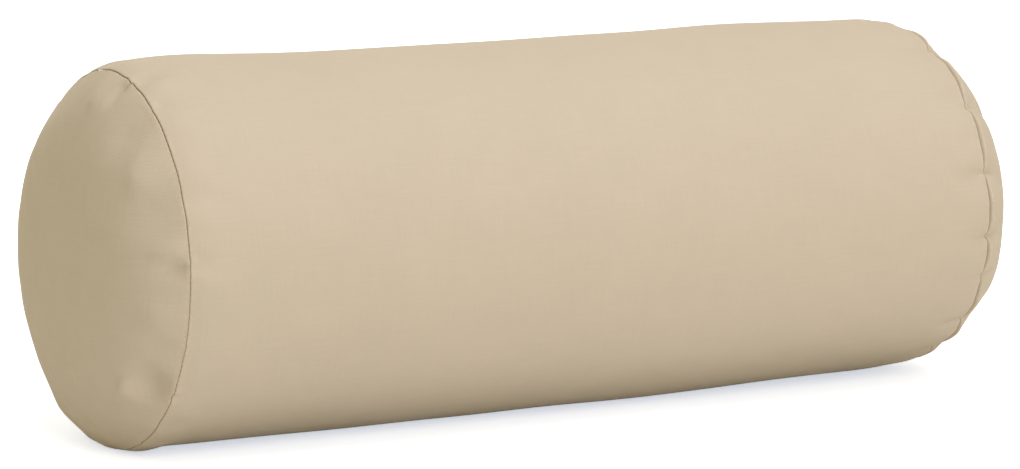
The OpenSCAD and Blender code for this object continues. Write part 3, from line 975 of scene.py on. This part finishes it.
class Shader:
    """A material under construction."""

    def __init__(self, name):
        self.material = bpy.data.materials.new(name)
        self.material.use_nodes = True
        self.tree = self.material.node_tree
        self.tree.nodes.clear()
        output = self.node("ShaderNodeOutputMaterial")
        self.principled = self.node("ShaderNodeBsdfPrincipled")
        self.tree.links.new(self.principled.outputs[0], output.inputs[0])
        coordinates = self.node("ShaderNodeTexCoord")
        self.uv = coordinates.outputs["UV"]
        self.place = coordinates.outputs["Object"]

    def node(self, kind, inputs=None, **properties):
        return add_node(self.tree, kind, inputs, **properties)

    def finish(self, inputs):
        feed(self.tree, self.principled, inputs)
        return self.material

    def math(self, operation, *values):
        inputs = dict(enumerate(values))
        return self.node("ShaderNodeMath", inputs, operation=operation).outputs[0]

    def times(self, first, second):
        return self.math("MULTIPLY", first, second)

    def total(self, first, *others):
        for other in others:
            first = self.math("ADD", first, other)
        return first

    def swing(self, value, amount, middle=0.5):
        """Variation round zero."""
        return self.times(self.math("SUBTRACT", value, middle), amount)

    def noise(self, vector, scale, detail=2.0, rough=0.5):
        inputs = {"Vector": vector, "Scale": scale, "Detail": detail, "Roughness": rough}
        return self.node("ShaderNodeTexNoise", inputs).outputs[0]

    def stretch(self, vector, factors):
        inputs = {0: vector, 1: factors}
        return self.node("ShaderNodeVectorMath", inputs, operation="MULTIPLY").outputs[0]

    def ramp(self, value, low, high):
        """0 at low, 1 at high."""
        inputs = {0: value, 1: low, 2: high, 3: 0.0, 4: 1.0}
        return self.node("ShaderNodeMapRange", inputs).outputs[0]

    def mix(self, factor, first, second):
        inputs = {0: factor, 6: first, 7: second}
        return self.node("ShaderNodeMix", inputs, data_type="RGBA").outputs[2]

    def shade(self, colour, value):
        inputs = {0: colour[:3], "Scale": value}
        return self.node("ShaderNodeVectorMath", inputs, operation="SCALE").outputs[0]

    def bump(self, height, strength, distance, normal=None):
        inputs = {"Height": height, "Strength": strength, "Distance": distance}
        if normal is not None:
            inputs["Normal"] = normal
        return self.node("ShaderNodeBump", inputs).outputs[0]

    def attribute(self, name):
        node = self.node("ShaderNodeAttribute", attribute_name=name, attribute_type="GEOMETRY")
        return node.outputs["Fac"]


def srgb(*levels):
    """Linear colour from 0-255 levels."""
    levels = [level / 255 for level in levels]
    linear = [c / 12.92 if c <= 0.04045 else ((c + 0.055) / 1.055) ** 2.4 for c in levels]
    return tuple(linear) + (1.0,)


def tone(colour, gain, offset=0.0):
    return tuple(min(1.0, c * gain + offset) for c in colour[:3]) + (1.0,)


# ---------------------------------------------------------------- materials
def woven(name, base, pitch, sheen, bump, contrast, slub, edge_wear_and_shade=0.0, rough=0.88):
    """Plain woven cloth: threads over and under, slubs, slight cloudiness, soft sheen."""
    s = Shader(name)
    wobble = s.swing(s.noise(s.stretch(s.uv, (260, 260, 260)), scale=1.0), amount=0.9)
    axes = s.node("ShaderNodeSeparateXYZ", {0: s.uv}).outputs
    waves = [s.math("SINE", s.total(s.times(axes[i], PI / pitch), wobble)) for i in (0, 1)]
    weave = s.math("ABSOLUTE", s.times(*waves))
    # slubs: long thin streaks along each thread direction
    thread_rate, slub_rate = 1 / pitch * 0.9, 38
    streaks = []
    for factors in ((thread_rate, slub_rate, 1), (slub_rate, thread_rate, 1)):
        streak = s.noise(s.stretch(s.uv, factors), scale=1.0, detail=3.0, rough=0.6)
        streaks.append(s.math("SUBTRACT", streak, 0.5))
    streak = s.total(*streaks)
    cloud = s.noise(s.place, scale=9.0, detail=3.0, rough=0.55)
    mottle = s.noise(s.place, scale=55.0)
    value = s.total(
        s.times(streak, 0.20 * contrast * slub),
        s.swing(cloud, amount=0.11 * contrast),
        s.swing(mottle, amount=0.07 * contrast),
        s.swing(weave, amount=0.10 * contrast, middle=0.4),
        1.0,
    )
    colour = s.shade(base, value)
    if edge_wear_and_shade:
        # paler and rubbed on the sewn edges; painted shade down in the seams, on the allowance and
        # on the cloth's inner face
        edge, seam_shade = s.attribute("edge"), s.attribute("seam_shade")
        fray = s.noise(s.stretch(s.uv, (500, 500, 500)), scale=1.0)
        open_edge = s.times(edge, s.math("SUBTRACT", 1.0, seam_shade))
        wear = s.times(open_edge, s.times(s.ramp(fray, low=0.35, high=0.7), edge_wear_and_shade))
        colour = s.mix(wear, colour, tone(base, gain=1.16, offset=0.02))
        shadow = tuple(c * f for c, f in zip(base[:3], (0.42, 0.36, 0.29))) + (1.0,)
        colour = s.mix(s.times(s.math("POWER", seam_shade, 1.5), 0.8), colour, shadow)
    height = s.total(s.times(weave, 1.0), s.times(streak, 1.6 * slub))
    # slight softness of the cloth itself, between the threads and the folds
    crumple = s.noise(s.stretch(s.place, (1, 1, 1)), scale=130.0, detail=3.0, rough=0.55)
    soft = s.bump(crumple, strength=0.35, distance=0.0006)
    return s.finish({
        "Base Color": colour,
        "Roughness": s.total(rough, s.swing(mottle, amount=0.12)),
        "Specular IOR Level": 0.22,
        "Sheen Weight": sheen,
        "Sheen Roughness": 0.45,
        "Sheen Tint": tone(base, gain=1.1, offset=0.1),
        "Normal": s.bump(height, strength=bump, distance=0.00012, normal=soft),
    })


def thread_material(name, base):
    """Twisted sewing thread."""
    s = Shader(name)
    twist = s.node(
        "ShaderNodeTexWave",
        {"Vector": s.place, "Scale": 1 / 0.0011, "Distortion": 1.5, "Detail": 1.0},
        bands_direction="DIAGONAL",
    ).outputs["Fac"]
    mottle = s.noise(s.place, scale=700.0)
    value = s.total(s.times(twist, 0.22), s.times(mottle, 0.25), 0.78)
    return s.finish({
        "Base Color": s.shade(base, value),
        "Roughness": 0.6,
        "Sheen Weight": 0.3,
        "Normal": s.bump(twist, strength=0.5, distance=0.00008),
    })


def metal_material(name, base):
    """Die-cast metal with a fine satin grain and a dulled surface."""
    s = Shader(name)
    grain = s.noise(s.stretch(s.place, (900, 4200, 4200)), scale=1.0, detail=3.0, rough=0.6)
    cloud = s.noise(s.place, scale=260.0, detail=3.0, rough=0.6)
    return s.finish({
        "Base Color": s.mix(s.ramp(cloud, low=0.3, high=0.75), base, tone(base, gain=0.82)),
        "Metallic": 1.0,
        "Roughness": s.total(s.times(cloud, 0.18), s.times(grain, 0.16), 0.23),
        "Normal": s.bump(grain, strength=0.25, distance=0.00003),
    })


def nylon_material(name, base):
    s = Shader(name)
    mottle = s.noise(s.place, scale=420.0)
    return s.finish({
        "Base Color": s.mix(s.ramp(mottle, low=0.3, high=0.7), base, tone(base, gain=0.86)),
        "Roughness": 0.42,
        "Specular IOR Level": 0.5,
    })


def soft_material(name, base, grain, bump, cells=False):
    """Loose fibre, or the open cells of cut foam."""
    s = Shader(name)
    if cells:
        inputs = {"Vector": s.place, "Scale": grain}
        texture = s.node("ShaderNodeTexVoronoi", inputs).outputs["Distance"]
    else:
        texture = s.noise(s.stretch(s.place, (1, 1, 0.45)), scale=grain, detail=4.0, rough=0.7)
    cloud = s.noise(s.place, scale=18.0, detail=3.0)
    value = s.total(s.times(texture, 0.16), s.times(cloud, 0.12), 0.86)
    return s.finish({
        "Base Color": s.shade(base, value),
        "Roughness": 0.95,
        "Specular IOR Level": 0.1,
        "Sheen Weight": 0.2,
        "Normal": s.bump(texture, strength=bump, distance=0.0008),
    })


def floor_material():
    """Matt white studio floor with very slight mottling; it glows a little to the camera."""
    s = Shader("floor_paint")
    mottle = s.noise(s.place, scale=3.0, detail=3.0)
    to_camera = s.node("ShaderNodeLightPath").outputs["Is Camera Ray"]
    distance = s.node("ShaderNodeVectorMath", {0: s.place}, operation="LENGTH").outputs["Value"]
    far = s.node(
        "ShaderNodeMapRange",
        {"Value": distance, "From Min": 0.35, "From Max": 1.3},
        interpolation_type="SMOOTHSTEP",
    ).outputs["Result"]
    light, dark = (0.90, 0.90, 0.895, 1), (0.87, 0.87, 0.87, 1)
    near_glow, far_glow = (0.86, 0.91, 1.0, 1), (0.74, 0.84, 1.0, 1)
    return s.finish({
        "Base Color": s.mix(s.times(mottle, 0.05), light, dark),
        "Roughness": 0.95,
        "Specular IOR Level": 0.05,
        "Emission Color": s.mix(far, near_glow, far_glow),
        "Emission Strength": s.times(to_camera, s.math("MULTIPLY_ADD", far, 0.12, 0.66)),
    })


COVER_CLOTH = woven("cover_cloth", srgb(202, 189, 168), pitch=0.00062, sheen=0.3, bump=0.4,
                    contrast=0.6, slub=0.8, edge_wear_and_shade=0.5)
COVER_THREAD = thread_material("cover_thread", srgb(200, 182, 148))
TICKING = woven("ticking_cloth", srgb(238, 235, 226), pitch=0.00045, sheen=0.15, bump=0.3,
                contrast=0.6, slub=0.5)
TICKING_THREAD = thread_material("ticking_thread", srgb(236, 233, 226))
ZIP_TAPE = woven("zip_tape_cloth", srgb(196, 178, 146), pitch=0.0007, sheen=0.1, bump=0.5,
                 contrast=0.9, slub=0.2)
ZIP_NYLON = nylon_material("zip_nylon", srgb(190, 172, 140))
ZIP_METAL = metal_material("zip_metal_satin", srgb(178, 178, 182))
LABEL_SATIN = woven("label_satin", srgb(243, 242, 238), pitch=0.0003, sheen=0.05, bump=0.15,
                    contrast=0.4, slub=0.3, rough=0.55)
FIBRE = soft_material("polyester_fibre", srgb(244, 244, 241), grain=260.0, bump=0.7)
FOAM = soft_material("cut_foam", srgb(240, 229, 190), grain=900.0, bump=0.6, cells=True)


def set_material(ob, material):
    ob.data.materials.clear()
    ob.data.materials.append(material)


def place(ob, material, slot, *nodes):
    """Dress a piece, hide the frame's parts that it replaces, and hang it on the bolster."""
    set_material(ob, material)
    if nodes:
        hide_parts(*nodes)
    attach(ob, "bolster")


cover = {"cover_body": build_tube()}
cover["cover_end_left"] = build_end(-1)
cover["cover_end_right"] = build_end(1)
for node, ob in cover.items():
    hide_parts(node)
for ob in cover.values():
    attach(ob, "bolster")
    set_material(ob, COVER_CLOTH)


# ---------------------------------------------------------------- cover stitching
COVER_STITCH = 0.24 * MM                       # radius of the seam thread


def zip_point(x, below, radius):
    """Point at x along the roll, an arc below the zip's middle line, and a radius."""
    return around(x, radius, ZIP_ANGLE - below / RADIUS) + np.array([0, 0, AXIS_Z])


def ring_stitches(side):
    """Short slanted stitches across an end seam, down in its groove."""
    count = 204
    angles = (np.arange(count) + 0.5) / count * TURN
    rim = min(SEAMS[side]["tube_rim"], SEAMS[side]["end_rim"])
    depth = rim * groove(side, angles) + 0.10 * MM
    centres = disc_point(side, 0.9999, angles) - outward(angles) * depth[:, None]
    slants = outward(angles + PI / 2) * 0.35 * MM
    t = np.linspace(-1, 1, 7)
    paths = [
        centre
        + np.outer(t * 0.95 * MM, [1, 0, 0])
        + np.outer((1 - t**2) * 0.28 * MM, out)
        + np.outer(t, slant)
        for centre, out, slant in zip(centres, outward(angles), slants)
    ]
    return threads(f"seam_stitches_{END_NAME[side]}", paths, COVER_STITCH)


def back_seam_stitches():
    """Seam past each end of the zip."""
    t = np.linspace(-1, 1, 7)
    radius = RADIUS - 1.55 * MM + 0.3 * MM * (1 - t**2)
    paths = []
    for side in (-1, 1):
        for x in np.arange(SLOT_X + 7 * MM, SEAM_X - 12 * MM, 3 * MM):
            paths.append(zip_point(side * (x + 0.3 * MM * t), t * 0.95 * MM, radius))
    return threads("back_seam_stitches", paths, COVER_STITCH)


def topstitching():
    """A row along each side of the zip, and two tacks across each end of its opening."""
    t = np.linspace(-1, 1, 9)
    half = SLOT_X - 1.5 * MM
    count = int(2 * half / (4 * MM)) + 1
    row_y = SLOT_HALF + STITCH_IN
    radius = RADIUS + 0.26 * MM * (1 - t**4) - 0.42 * MM
    tack_radius = RADIUS + 0.20 * MM * (1 - t**4) - 0.05 * MM
    tack_ys = np.linspace(-6.4 * MM, 6.4 * MM, 15)
    paths = []
    for side in (-1, 1):
        for i in range(count):
            x = -half + (i + 0.5) * 2 * half / count
            paths.append(zip_point(x + t * 1.75 * MM, side * row_y, radius))
        for row in (0, 1):
            for i in range(len(tack_ys) - 1):
                slant = (0.35 if i % 2 else -0.35) * MM * t
                x = SLOT_X + (4.0 + 1.5 * row) * MM + slant
                start, stop = tack_ys[i], tack_ys[i + 1]
                y = (start + stop) / 2 + (stop - start) / 2 * t
                paths.append(zip_point(side * x, y, tack_radius))
    return threads("zip_topstitching", paths, 0.23 * MM)


for side in (-1, 1):
    node = f"seam_thread_{END_NAME[side]}"
    place(ring_stitches(side), COVER_THREAD, "sewing_thread", node)
place(back_seam_stitches(), COVER_THREAD, "sewing_thread", "back_seam_thread")
place(topstitching(), COVER_THREAD, "sewing_thread", "zip_stitching")

# ---------------------------------------------------------------- zip
ROW_NAME = {-1: "upper", 1: "lower"}
# section of a tape: mm from the zip's middle line, lift of its outer face in mm
TAPE_SECTION = np.array([
    (2.0, 0.0), (2.25, 0.10), (2.6, 0.14), (3.1, 0.12), (3.7, 0.04), (4.3, 0), (5.5, 0),
    (8, 0), (11, 0), (14, 0), (16, 0), (16.6, 0.06), (17.0, 0.0),
]) * MM
CHAIN_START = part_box("zip_teeth_lower")[0].x
CHAIN_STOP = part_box("zip_top_stops")[0].x - 0.4 * MM
PITCH = 2.0 * MM                               # of the coil's loops
COIL_R = RADIUS - 1.55 * MM
ACROSS = unit(zip_point(0, MM, RADIUS) - zip_point(0, -MM, RADIUS))


def zip_tape(side):
    y, lift = TAPE_SECTION.T
    x = np.linspace(-TAPE_X, TAPE_X, 300)[:, None]
    outer = zip_point(x, side * y, RADIUS - 2.32 * MM + lift)
    inner = zip_point(x, side * y, RADIUS - 2.88 * MM)
    return sheet(f"zip_tape_{ROW_NAME[side]}_woven", outer, inner, y, x)


def parting_nodes():
    """Node group that moves each vertex across the zip by its "give", past the slider."""
    tree = bpy.data.node_groups.new("rows_part_at_slider", "GeometryNodeTree")
    for way in ("INPUT", "OUTPUT"):
        tree.interface.new_socket("Geometry", in_out=way, socket_type="NodeSocketGeometry")
    start = add_node(tree, "NodeGroupInput")
    output = add_node(tree, "NodeGroupOutput")
    slider = add_node(
        tree, "GeometryNodeObjectInfo", {"Object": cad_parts["zip_slider"]},
        transform_space="RELATIVE",
    )
    position = add_node(tree, "GeometryNodeInputPosition")
    offset = add_node(
        tree, "ShaderNodeVectorMath",
        {0: position.outputs[0], 1: slider.outputs["Location"]}, operation="SUBTRACT",
    )
    axes = add_node(tree, "ShaderNodeSeparateXYZ", {0: offset.outputs[0]})
    past = add_node(
        tree, "ShaderNodeMapRange",
        {
            "Value": axes.outputs["X"],
            "From Min": SLIDER_X + 0.6 * MM,
            "From Max": SLIDER_X + 2.4 * MM,
        },
        interpolation_type="SMOOTHSTEP",
    )
    give = add_node(tree, "GeometryNodeInputNamedAttribute", {"Name": "give"}, data_type="FLOAT")
    amount = add_node(
        tree, "ShaderNodeMath",
        {0: past.outputs["Result"], 1: give.outputs["Attribute"]}, operation="MULTIPLY",
    )
    move = add_node(
        tree, "ShaderNodeVectorMath",
        {0: tuple(float(v) for v in ACROSS), "Scale": amount.outputs[0]}, operation="SCALE",
    )
    moved = add_node(
        tree, "GeometryNodeSetPosition",
        {"Geometry": start.outputs[0], "Offset": move.outputs[0]},
    )
    feed(tree, output, {0: moved.outputs[0]})
    return tree


PARTING = parting_nodes()


def part_at_slider(ob, give):
    """Mesh the rows on one side of the slider, hold them apart on the other; give is in mm."""
    add_attribute(ob.data, "give", np.asarray(give, np.float32) * MM)
    ob.modifiers.new("rows", "NODES").node_group = PARTING


def zip_coil(side):
    """One looped nylon filament; the upper row lies half a pitch further along."""
    ahead = 0.0 if side > 0 else 0.5
    loops = np.arange(0, (CHAIN_STOP - CHAIN_START) / PITCH - (0.75 + ahead), 1 / 14)
    part = loops % 1
    # the filament steps along at the back of each loop
    lead = np.floor(loops) + smooth((part - 0.55) / 0.45)
    x = CHAIN_START + (0.7 + ahead) * PITCH + PITCH * lead
    cosine = np.cos(TURN * part)
    y = 0.70 - 1.65 * np.sign(cosine) * np.abs(cosine) ** 0.7
    z = 0.46 * np.sin(TURN * part)
    path = zip_point(x, side * y * MM, COIL_R + z * MM)
    width = 0.29 + 0.05 * np.clip(cosine, 0, 1) ** 4     # pressed a little wider at the head
    verts, faces = tubes([path], width * MM, sides=8)
    ob = make(f"zip_teeth_{ROW_NAME[side]}_coil", verts, faces)
    from_middle = side * ((verts - [0, 0, AXIS_Z]) @ ACROSS) / MM
    part_at_slider(ob, side * (2.6 - 0.5 * np.clip(from_middle + 0.95, 0, 3.3)))
    return ob


def coil_sewing(side):
    """Sewing line that holds a coil on its tape."""
    x = np.arange(CHAIN_START + 1 * MM, CHAIN_STOP, 0.5 * MM)
    height = (0.74 + 0.04 * np.sin(x / PITCH * TURN)) * MM
    path = zip_point(x, side * 1.95 * MM, COIL_R + height)
    ob = threads(f"zip_coil_sewing_{ROW_NAME[side]}", [path], 0.13 * MM)
    part_at_slider(ob, np.full(len(ob.data.vertices), side * 1.0))
    return ob


for side in (-1, 1):
    place(zip_tape(side), ZIP_TAPE, "zip_tape", f"zip_tape_{ROW_NAME[side]}")
for side in (-1, 1):
    place(zip_coil(side), ZIP_NYLON, "zip_teeth", f"zip_teeth_{ROW_NAME[side]}")
for side in (-1, 1):
    place(coil_sewing(side), COVER_THREAD, "sewing_thread")

# metal parts: the frame's own shapes with broken edges
METAL_EDGES = {"zip_slider": 0.22, "zip_pull": 0.22, "zip_top_stops": 0.15,
               "zip_bottom_stop": 0.15}        # bevel width in mm
for node, width in METAL_EDGES.items():
    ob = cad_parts[node]
    ob.modifiers.new("weld", "WELD").merge_threshold = 1e-5
    bevel = ob.modifiers.new("edges", "BEVEL")
    bevel.width = width * MM
    bevel.segments = 2
    bevel.limit_method = "ANGLE"
    bevel.angle_limit = math.radians(35)
    bevel.harden_normals = False
    set_material(ob, ZIP_METAL)

# ---------------------------------------------------------------- inside the cover
LINER_INSET = 2.7 * MM                         # liner behind the cover's outer face
LINER_CLOTH = 0.5 * MM
LINER_TURN = 5 * MM                            # liner's edges turned in at its seams
LINER_GAP = SEAM_X - LINER_X
LINER_SCALE = LINER_X / SEAM_X
PAD_SIDES = 160


def inside_tube(x, angle, inset, draw_in, scale):
    """Point an inset behind the tube, drawn in near the seams and flatter behind the zip."""
    full_x = x / scale
    points = tube_point(full_x, angle)
    from_seam = SEAM_X - np.abs(full_x)
    room = 3.0 * MM * smooth((math.radians(24) - zip_distance(angle)) / math.radians(10))
    depth = inset + room + draw_in * smooth((30 * MM - from_seam) / (30 * MM))
    points = points - outward(angle) * depth[..., None]
    points[..., 0] *= scale
    points[..., 2] = np.maximum(points[..., 2], inset + 0.1 * MM)
    return points


def inside_dome(side, q, angle, inset, back):
    """Point an inset behind an end panel, moved back along x."""
    points = disc_point(side, q, angle)
    points[..., 0] -= side * (back + inset * 0.9)
    points = points - outward(angle) * (q**3 * (inset + 1.6 * MM))[..., None]
    points[..., 2] = np.maximum(points[..., 2], inset + 0.1 * MM)
    return points


def sleeve(name, half_length, inset, thick, rows, cols, scale=1, seam_turn=0.0):
    """Closed sleeve that follows the inside of the cover."""
    x = np.linspace(-half_length, half_length, rows)
    if seam_turn:
        x = np.concatenate([[-half_length] * 3, x[1:-1], [half_length] * 3])
    x, angle = np.meshgrid(x, TURN * np.arange(cols) / cols, indexing="ij")
    outer, inner = (inside_tube(x, angle, i, 1.6 * MM, scale) for i in (inset, inset + thick))
    if seam_turn:
        out = outward(angle)
        for row, share in ((0, 1), (1, 0.5), (-1, 1), (-2, 0.5)):
            outer[row] -= out[row] * seam_turn * share
            inner[row] -= out[row] * seam_turn * share
        inner[:3, :, 0] += thick
        inner[-3:, :, 0] -= thick
    outer_ids = numbered(0, *x.shape)
    inner_ids = outer_ids + x.size
    faces = np.concatenate([
        grid_faces(outer_ids, wrap=True),
        grid_faces(inner_ids, wrap=True, flip=True),
        band(inner_ids[0], outer_ids[0]),
        band(outer_ids[-1], inner_ids[-1]),
    ])
    uv = np.stack([angle * RADIUS, x], -1).reshape(-1, 2)
    verts = np.concatenate([outer.reshape(-1, 3), inner.reshape(-1, 3)])
    return face_outward(make(name, verts, faces, np.concatenate([uv, uv])))


def liner_end(side):
    """Domed disc with a small turned-in edge."""
    steps = 32
    share, angle, rim_ids, rim_angle = disc_grid(steps)
    q = 0.999 * share**0.8
    back = LINER_GAP - 0.15 * MM
    outer = inside_dome(side, q, angle, LINER_INSET, back)
    inner = inside_dome(side, q, angle, LINER_INSET + LINER_CLOTH, back)
    inner[..., 0] = np.where(share > 0.97, outer[..., 0] + side * 0.05 * MM, inner[..., 0])
    outer, inner = outer.reshape(-1, 3), inner.reshape(-1, 3)
    turn = outward(rim_angle) * LINER_TURN
    outer_rim, inner_rim = outer[rim_ids] - turn, inner[rim_ids] - turn
    inner_rim[:, 0] += side * LINER_CLOTH
    ids = numbered(0, steps + 1, steps + 1)
    outer_ring = 2 * ids.size + np.arange(len(rim_ids))
    inner_ring = outer_ring + len(rim_ids)
    faces = np.concatenate([
        grid_faces(ids),
        grid_faces(ids + ids.size, flip=True),
        band(rim_ids, outer_ring),
        band(outer_ring, inner_ring),
        band(inner_ring, rim_ids + ids.size),
    ])
    uv = flat_uv(q * RADIUS, angle)
    uv = np.concatenate([uv, uv, uv[rim_ids], uv[rim_ids]])
    verts = np.concatenate([outer, inner, outer_rim, inner_rim])
    return face_outward(make(f"liner_end_{END_NAME[side]}_ticking", verts, faces, uv))


def end_pad(side):
    """Fibre plug from the plane at PAD_X to the domed end."""
    inset = 3.9 * MM
    angle = TURN * np.arange(PAD_SIDES) / PAD_SIDES
    x = side * np.linspace(PAD_X, LINER_X - 0.4 * MM, 9)[:, None]
    wall = inside_tube(x, angle, inset, 2.4 * MM, LINER_SCALE)
    q = np.array([0.93, 0.86, 0.78, 0.68, 0.56, 0.42, 0.28, 0.14, 0.04])[:, None]
    dome = inside_dome(side, q, angle, inset, LINER_GAP)
    centre = np.array([0, 0, AXIS_Z])
    flat = np.stack([centre + (wall[0] - centre) * [1, k, k] for k in (0.04, 0.35, 0.7)])
    return ringed_solid(f"end_pad_{END_NAME[side]}_fibre", np.concatenate([flat, wall, dome]))


def foam_core():
    """Cut cylinder with slightly uneven faces."""
    angle = TURN * np.arange(PAD_SIDES) / PAD_SIDES
    low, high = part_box("foam_core")
    # right end of the profile: shares of the half length and of the radius
    end = [(0.985, 1.0), (0.996, 0.985), (1, 0.96), (1, 0.75), (1, 0.4), (1, 0.03)]
    profile = [(-x, r) for x, r in end[::-1]]
    profile += [(x, 1.0) for x in np.linspace(-0.95, 0.95, 46)] + end
    x, radius = np.array(profile).T[..., None]
    x = x * (PAD_X - 0.5 * MM)
    radius = radius * ((high.y - low.y) / 2 - 0.4 * MM)
    uneven = field_noise(angle, x, seed=91, count=12, turns=(2, 9), rates=(-60, 60))
    rings = around(x, radius * (1 + 0.0022 * uneven), angle) + np.array([0, 0, AXIS_Z])
    return ringed_solid("foam_core_cut", rings)


def liner_stitches(side):
    angles = (np.arange(110) + 0.5) / 110 * TURN
    points = inside_dome(side, np.array([0.999]), angles, LINER_INSET, LINER_GAP)
    t = np.linspace(-1, 1, 5)
    paths = []
    for point, out in zip(points, outward(angles)):
        along = np.outer(t * 0.8 * MM, [1, 0, 0])
        paths.append(point - out * 1.8 * MM + along + np.outer((1 - t**2) * 0.15 * MM, out))
    return threads(f"liner_thread_{END_NAME[side]}_stitches", paths, 0.2 * MM)


def hand_closing():
    """Slanted hand stitches along the liner's closing."""
    low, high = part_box("liner_closing_stitches")
    angle = math.atan2((low.z + high.z) / 2 - AXIS_Z, (low.y + high.y) / 2)
    out = outward(angle)
    t = np.linspace(-1, 1, 7)
    paths = []
    for x in np.arange(low.x + 2 * MM, high.x, 5 * MM):
        points = tube_point((x + t * 1.9 * MM) / LINER_SCALE, angle + t * 0.010)
        points[:, 0] *= LINER_SCALE
        paths.append(points - out * 2.45 * MM - np.outer(t**4 * 0.35 * MM, out))
    return threads("liner_hand_closing", paths, 0.22 * MM)


def care_label():
    """Blank label, folded over at its foot, inside the cover."""
    low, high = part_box("care_label")
    leaf_z = np.linspace(high.z, low.z + 0.6 * MM, 12)
    bend = np.linspace(-1.2, 1.2, 5)
    y = np.linspace(low.y, high.y, 26)
    curl = 0.5 * MM * np.sin((y - low.y) / (high.y - low.y) * PI)
    # rows run down one leaf, round the fold and up the other
    offset = np.concatenate([np.full(12, -1.0), np.sin(bend), np.ones(12)])[:, None] * 0.14 * MM
    z = np.concatenate([leaf_z, leaf_z[-1] - 0.16 * MM * np.cos(bend), leaf_z[::-1]])[:, None]
    drop = (high.z - leaf_z) / (high.z - low.z)
    drop = np.concatenate([drop, np.ones(5), drop[::-1]])[:, None]
    x = (low.x + high.x) / 2 + offset + curl * drop * 0.6
    middle = np.stack(np.broadcast_arrays(x, y, z), -1)
    normal = unit(np.cross(np.gradient(middle, axis=1), np.gradient(middle, axis=0)))
    half = normal * 0.09 * MM / 2
    length = np.arange(len(middle))[:, None] * 0.7 * MM
    return sheet("care_label_folded", middle - half, middle + half, y, length)


liner = sleeve("liner_sleeve", LINER_X - 0.15 * MM, LINER_INSET, LINER_CLOTH, rows=90,
               cols=180, scale=LINER_SCALE, seam_turn=LINER_TURN)
place(liner, TICKING, "ticking", "liner_body")
for side in (-1, 1):
    place(liner_end(side), TICKING, "ticking", f"liner_end_{END_NAME[side]}")
batt = sleeve("fibre_wrap_batt", PAD_X - 0.3 * MM, 3.8 * MM, 17.0 * MM, rows=60, cols=160)
place(batt, FIBRE, "fibre", "fibre_wrap")
for side in (-1, 1):
    place(end_pad(side), FIBRE, "fibre", f"end_pad_{END_NAME[side]}")
place(foam_core(), FOAM, "foam", "foam_core")
for side in (-1, 1):
    node = f"liner_thread_{END_NAME[side]}"
    place(liner_stitches(side), TICKING_THREAD, "sewing_thread", node)
place(hand_closing(), TICKING_THREAD, "sewing_thread", "liner_closing_stitches")
place(care_label(), LABEL_SATIN, "label", "care_label")

# ---------------------------------------------------------------- floor
scene = bpy.context.scene
scene.view_settings.view_transform = "Standard"
scene.view_settings.look = "None"

bpy.ops.mesh.primitive_plane_add(size=60, location=(0, 0, -0.0006))
floor = bpy.context.object
floor.name = "studio_floor"
set_material(floor, floor_material())

# ---------------------------------------------------------------- camera
CAMERA_AZIMUTH = math.radians(-29.695)
CAMERA_ELEVATION = math.radians(9.043)
CAMERA_ROLL = math.radians(0.319)
CAMERA_DISTANCE = 22.681 * RADIUS
TARGET_RIGHT = -0.0379224785 * RADIUS          # aim, from the middle of the roll's axis
TARGET_UP = -0.0433430211 * RADIUS
SENSOR_WIDTH = 36                              # in mm, as is the focal length
FOCAL_LENGTH = 150.190588


def add_camera():
    level = math.cos(CAMERA_ELEVATION)
    forward = Vector((
        -math.sin(CAMERA_AZIMUTH) * level,
        math.cos(CAMERA_AZIMUTH) * level,
        -math.sin(CAMERA_ELEVATION),
    ))
    right = Vector((math.cos(CAMERA_AZIMUTH), math.sin(CAMERA_AZIMUTH), 0))
    up = right.cross(forward)
    cosine, sine = math.cos(CAMERA_ROLL), math.sin(CAMERA_ROLL)
    right, up = cosine * right + sine * up, -sine * right + cosine * up
    target = Vector((0, 0, AXIS_Z)) + right * TARGET_RIGHT + up * TARGET_UP
    data = bpy.data.cameras.new("camera")
    camera = bpy.data.objects.new("camera", data)
    scene.collection.objects.link(camera)
    data.sensor_fit = "HORIZONTAL"
    data.sensor_width = SENSOR_WIDTH
    data.lens = FOCAL_LENGTH
    data.clip_start, data.clip_end = 0.05, 100
    turn = Matrix((right, up, -forward)).transposed().to_4x4()
    camera.matrix_world = Matrix.Translation(target - forward * CAMERA_DISTANCE) @ turn
    scene.camera = camera


add_camera()


# ---------------------------------------------------------------- world and lights
def add_world():
    """Warm surroundings that the camera sees as white."""
    world = bpy.data.worlds.new("studio")
    scene.world = world
    world.use_nodes = True
    tree = world.node_tree
    tree.nodes.clear()
    output = add_node(tree, "ShaderNodeOutputWorld")
    path = add_node(tree, "ShaderNodeLightPath")
    warm = add_node(
        tree, "ShaderNodeBackground", {"Color": (1.0, 0.922, 0.63, 1), "Strength": 0.54}
    )
    white = add_node(tree, "ShaderNodeBackground", {"Color": (1, 1, 1, 1), "Strength": 1.0})
    to_camera = path.outputs["Is Camera Ray"]
    mix = add_node(
        tree, "ShaderNodeMixShader", {0: to_camera, 1: warm.outputs[0], 2: white.outputs[0]}
    )
    feed(tree, output, {0: mix.outputs[0]})


def area_light(name, location, size, power, colour):
    """Square light aimed at the cushion."""
    data = bpy.data.lights.new(name, "AREA")
    data.energy, data.color = power, colour
    data.size = size
    ob = bpy.data.objects.new(name, data)
    ob.location = location
    ob.rotation_mode = "QUATERNION"
    aim = Vector((0, 0, 0.1)) - Vector(location)
    ob.rotation_quaternion = aim.to_track_quat("-Z", "Y")
    scene.collection.objects.link(ob)


add_world()
area_light("key", location=(0, -1.813, 0.945), size=1.0, power=12.2, colour=(0.909, 0.909, 1.0))
area_light("top", location=(0.174, -0.301, 2.07), size=1.8, power=24.8, colour=(0.79, 0.79, 1.0))
area_light("back", location=(0.45, 1.95, 0.75), size=1.5, power=7.5, colour=(0.88, 0.90, 1.0))
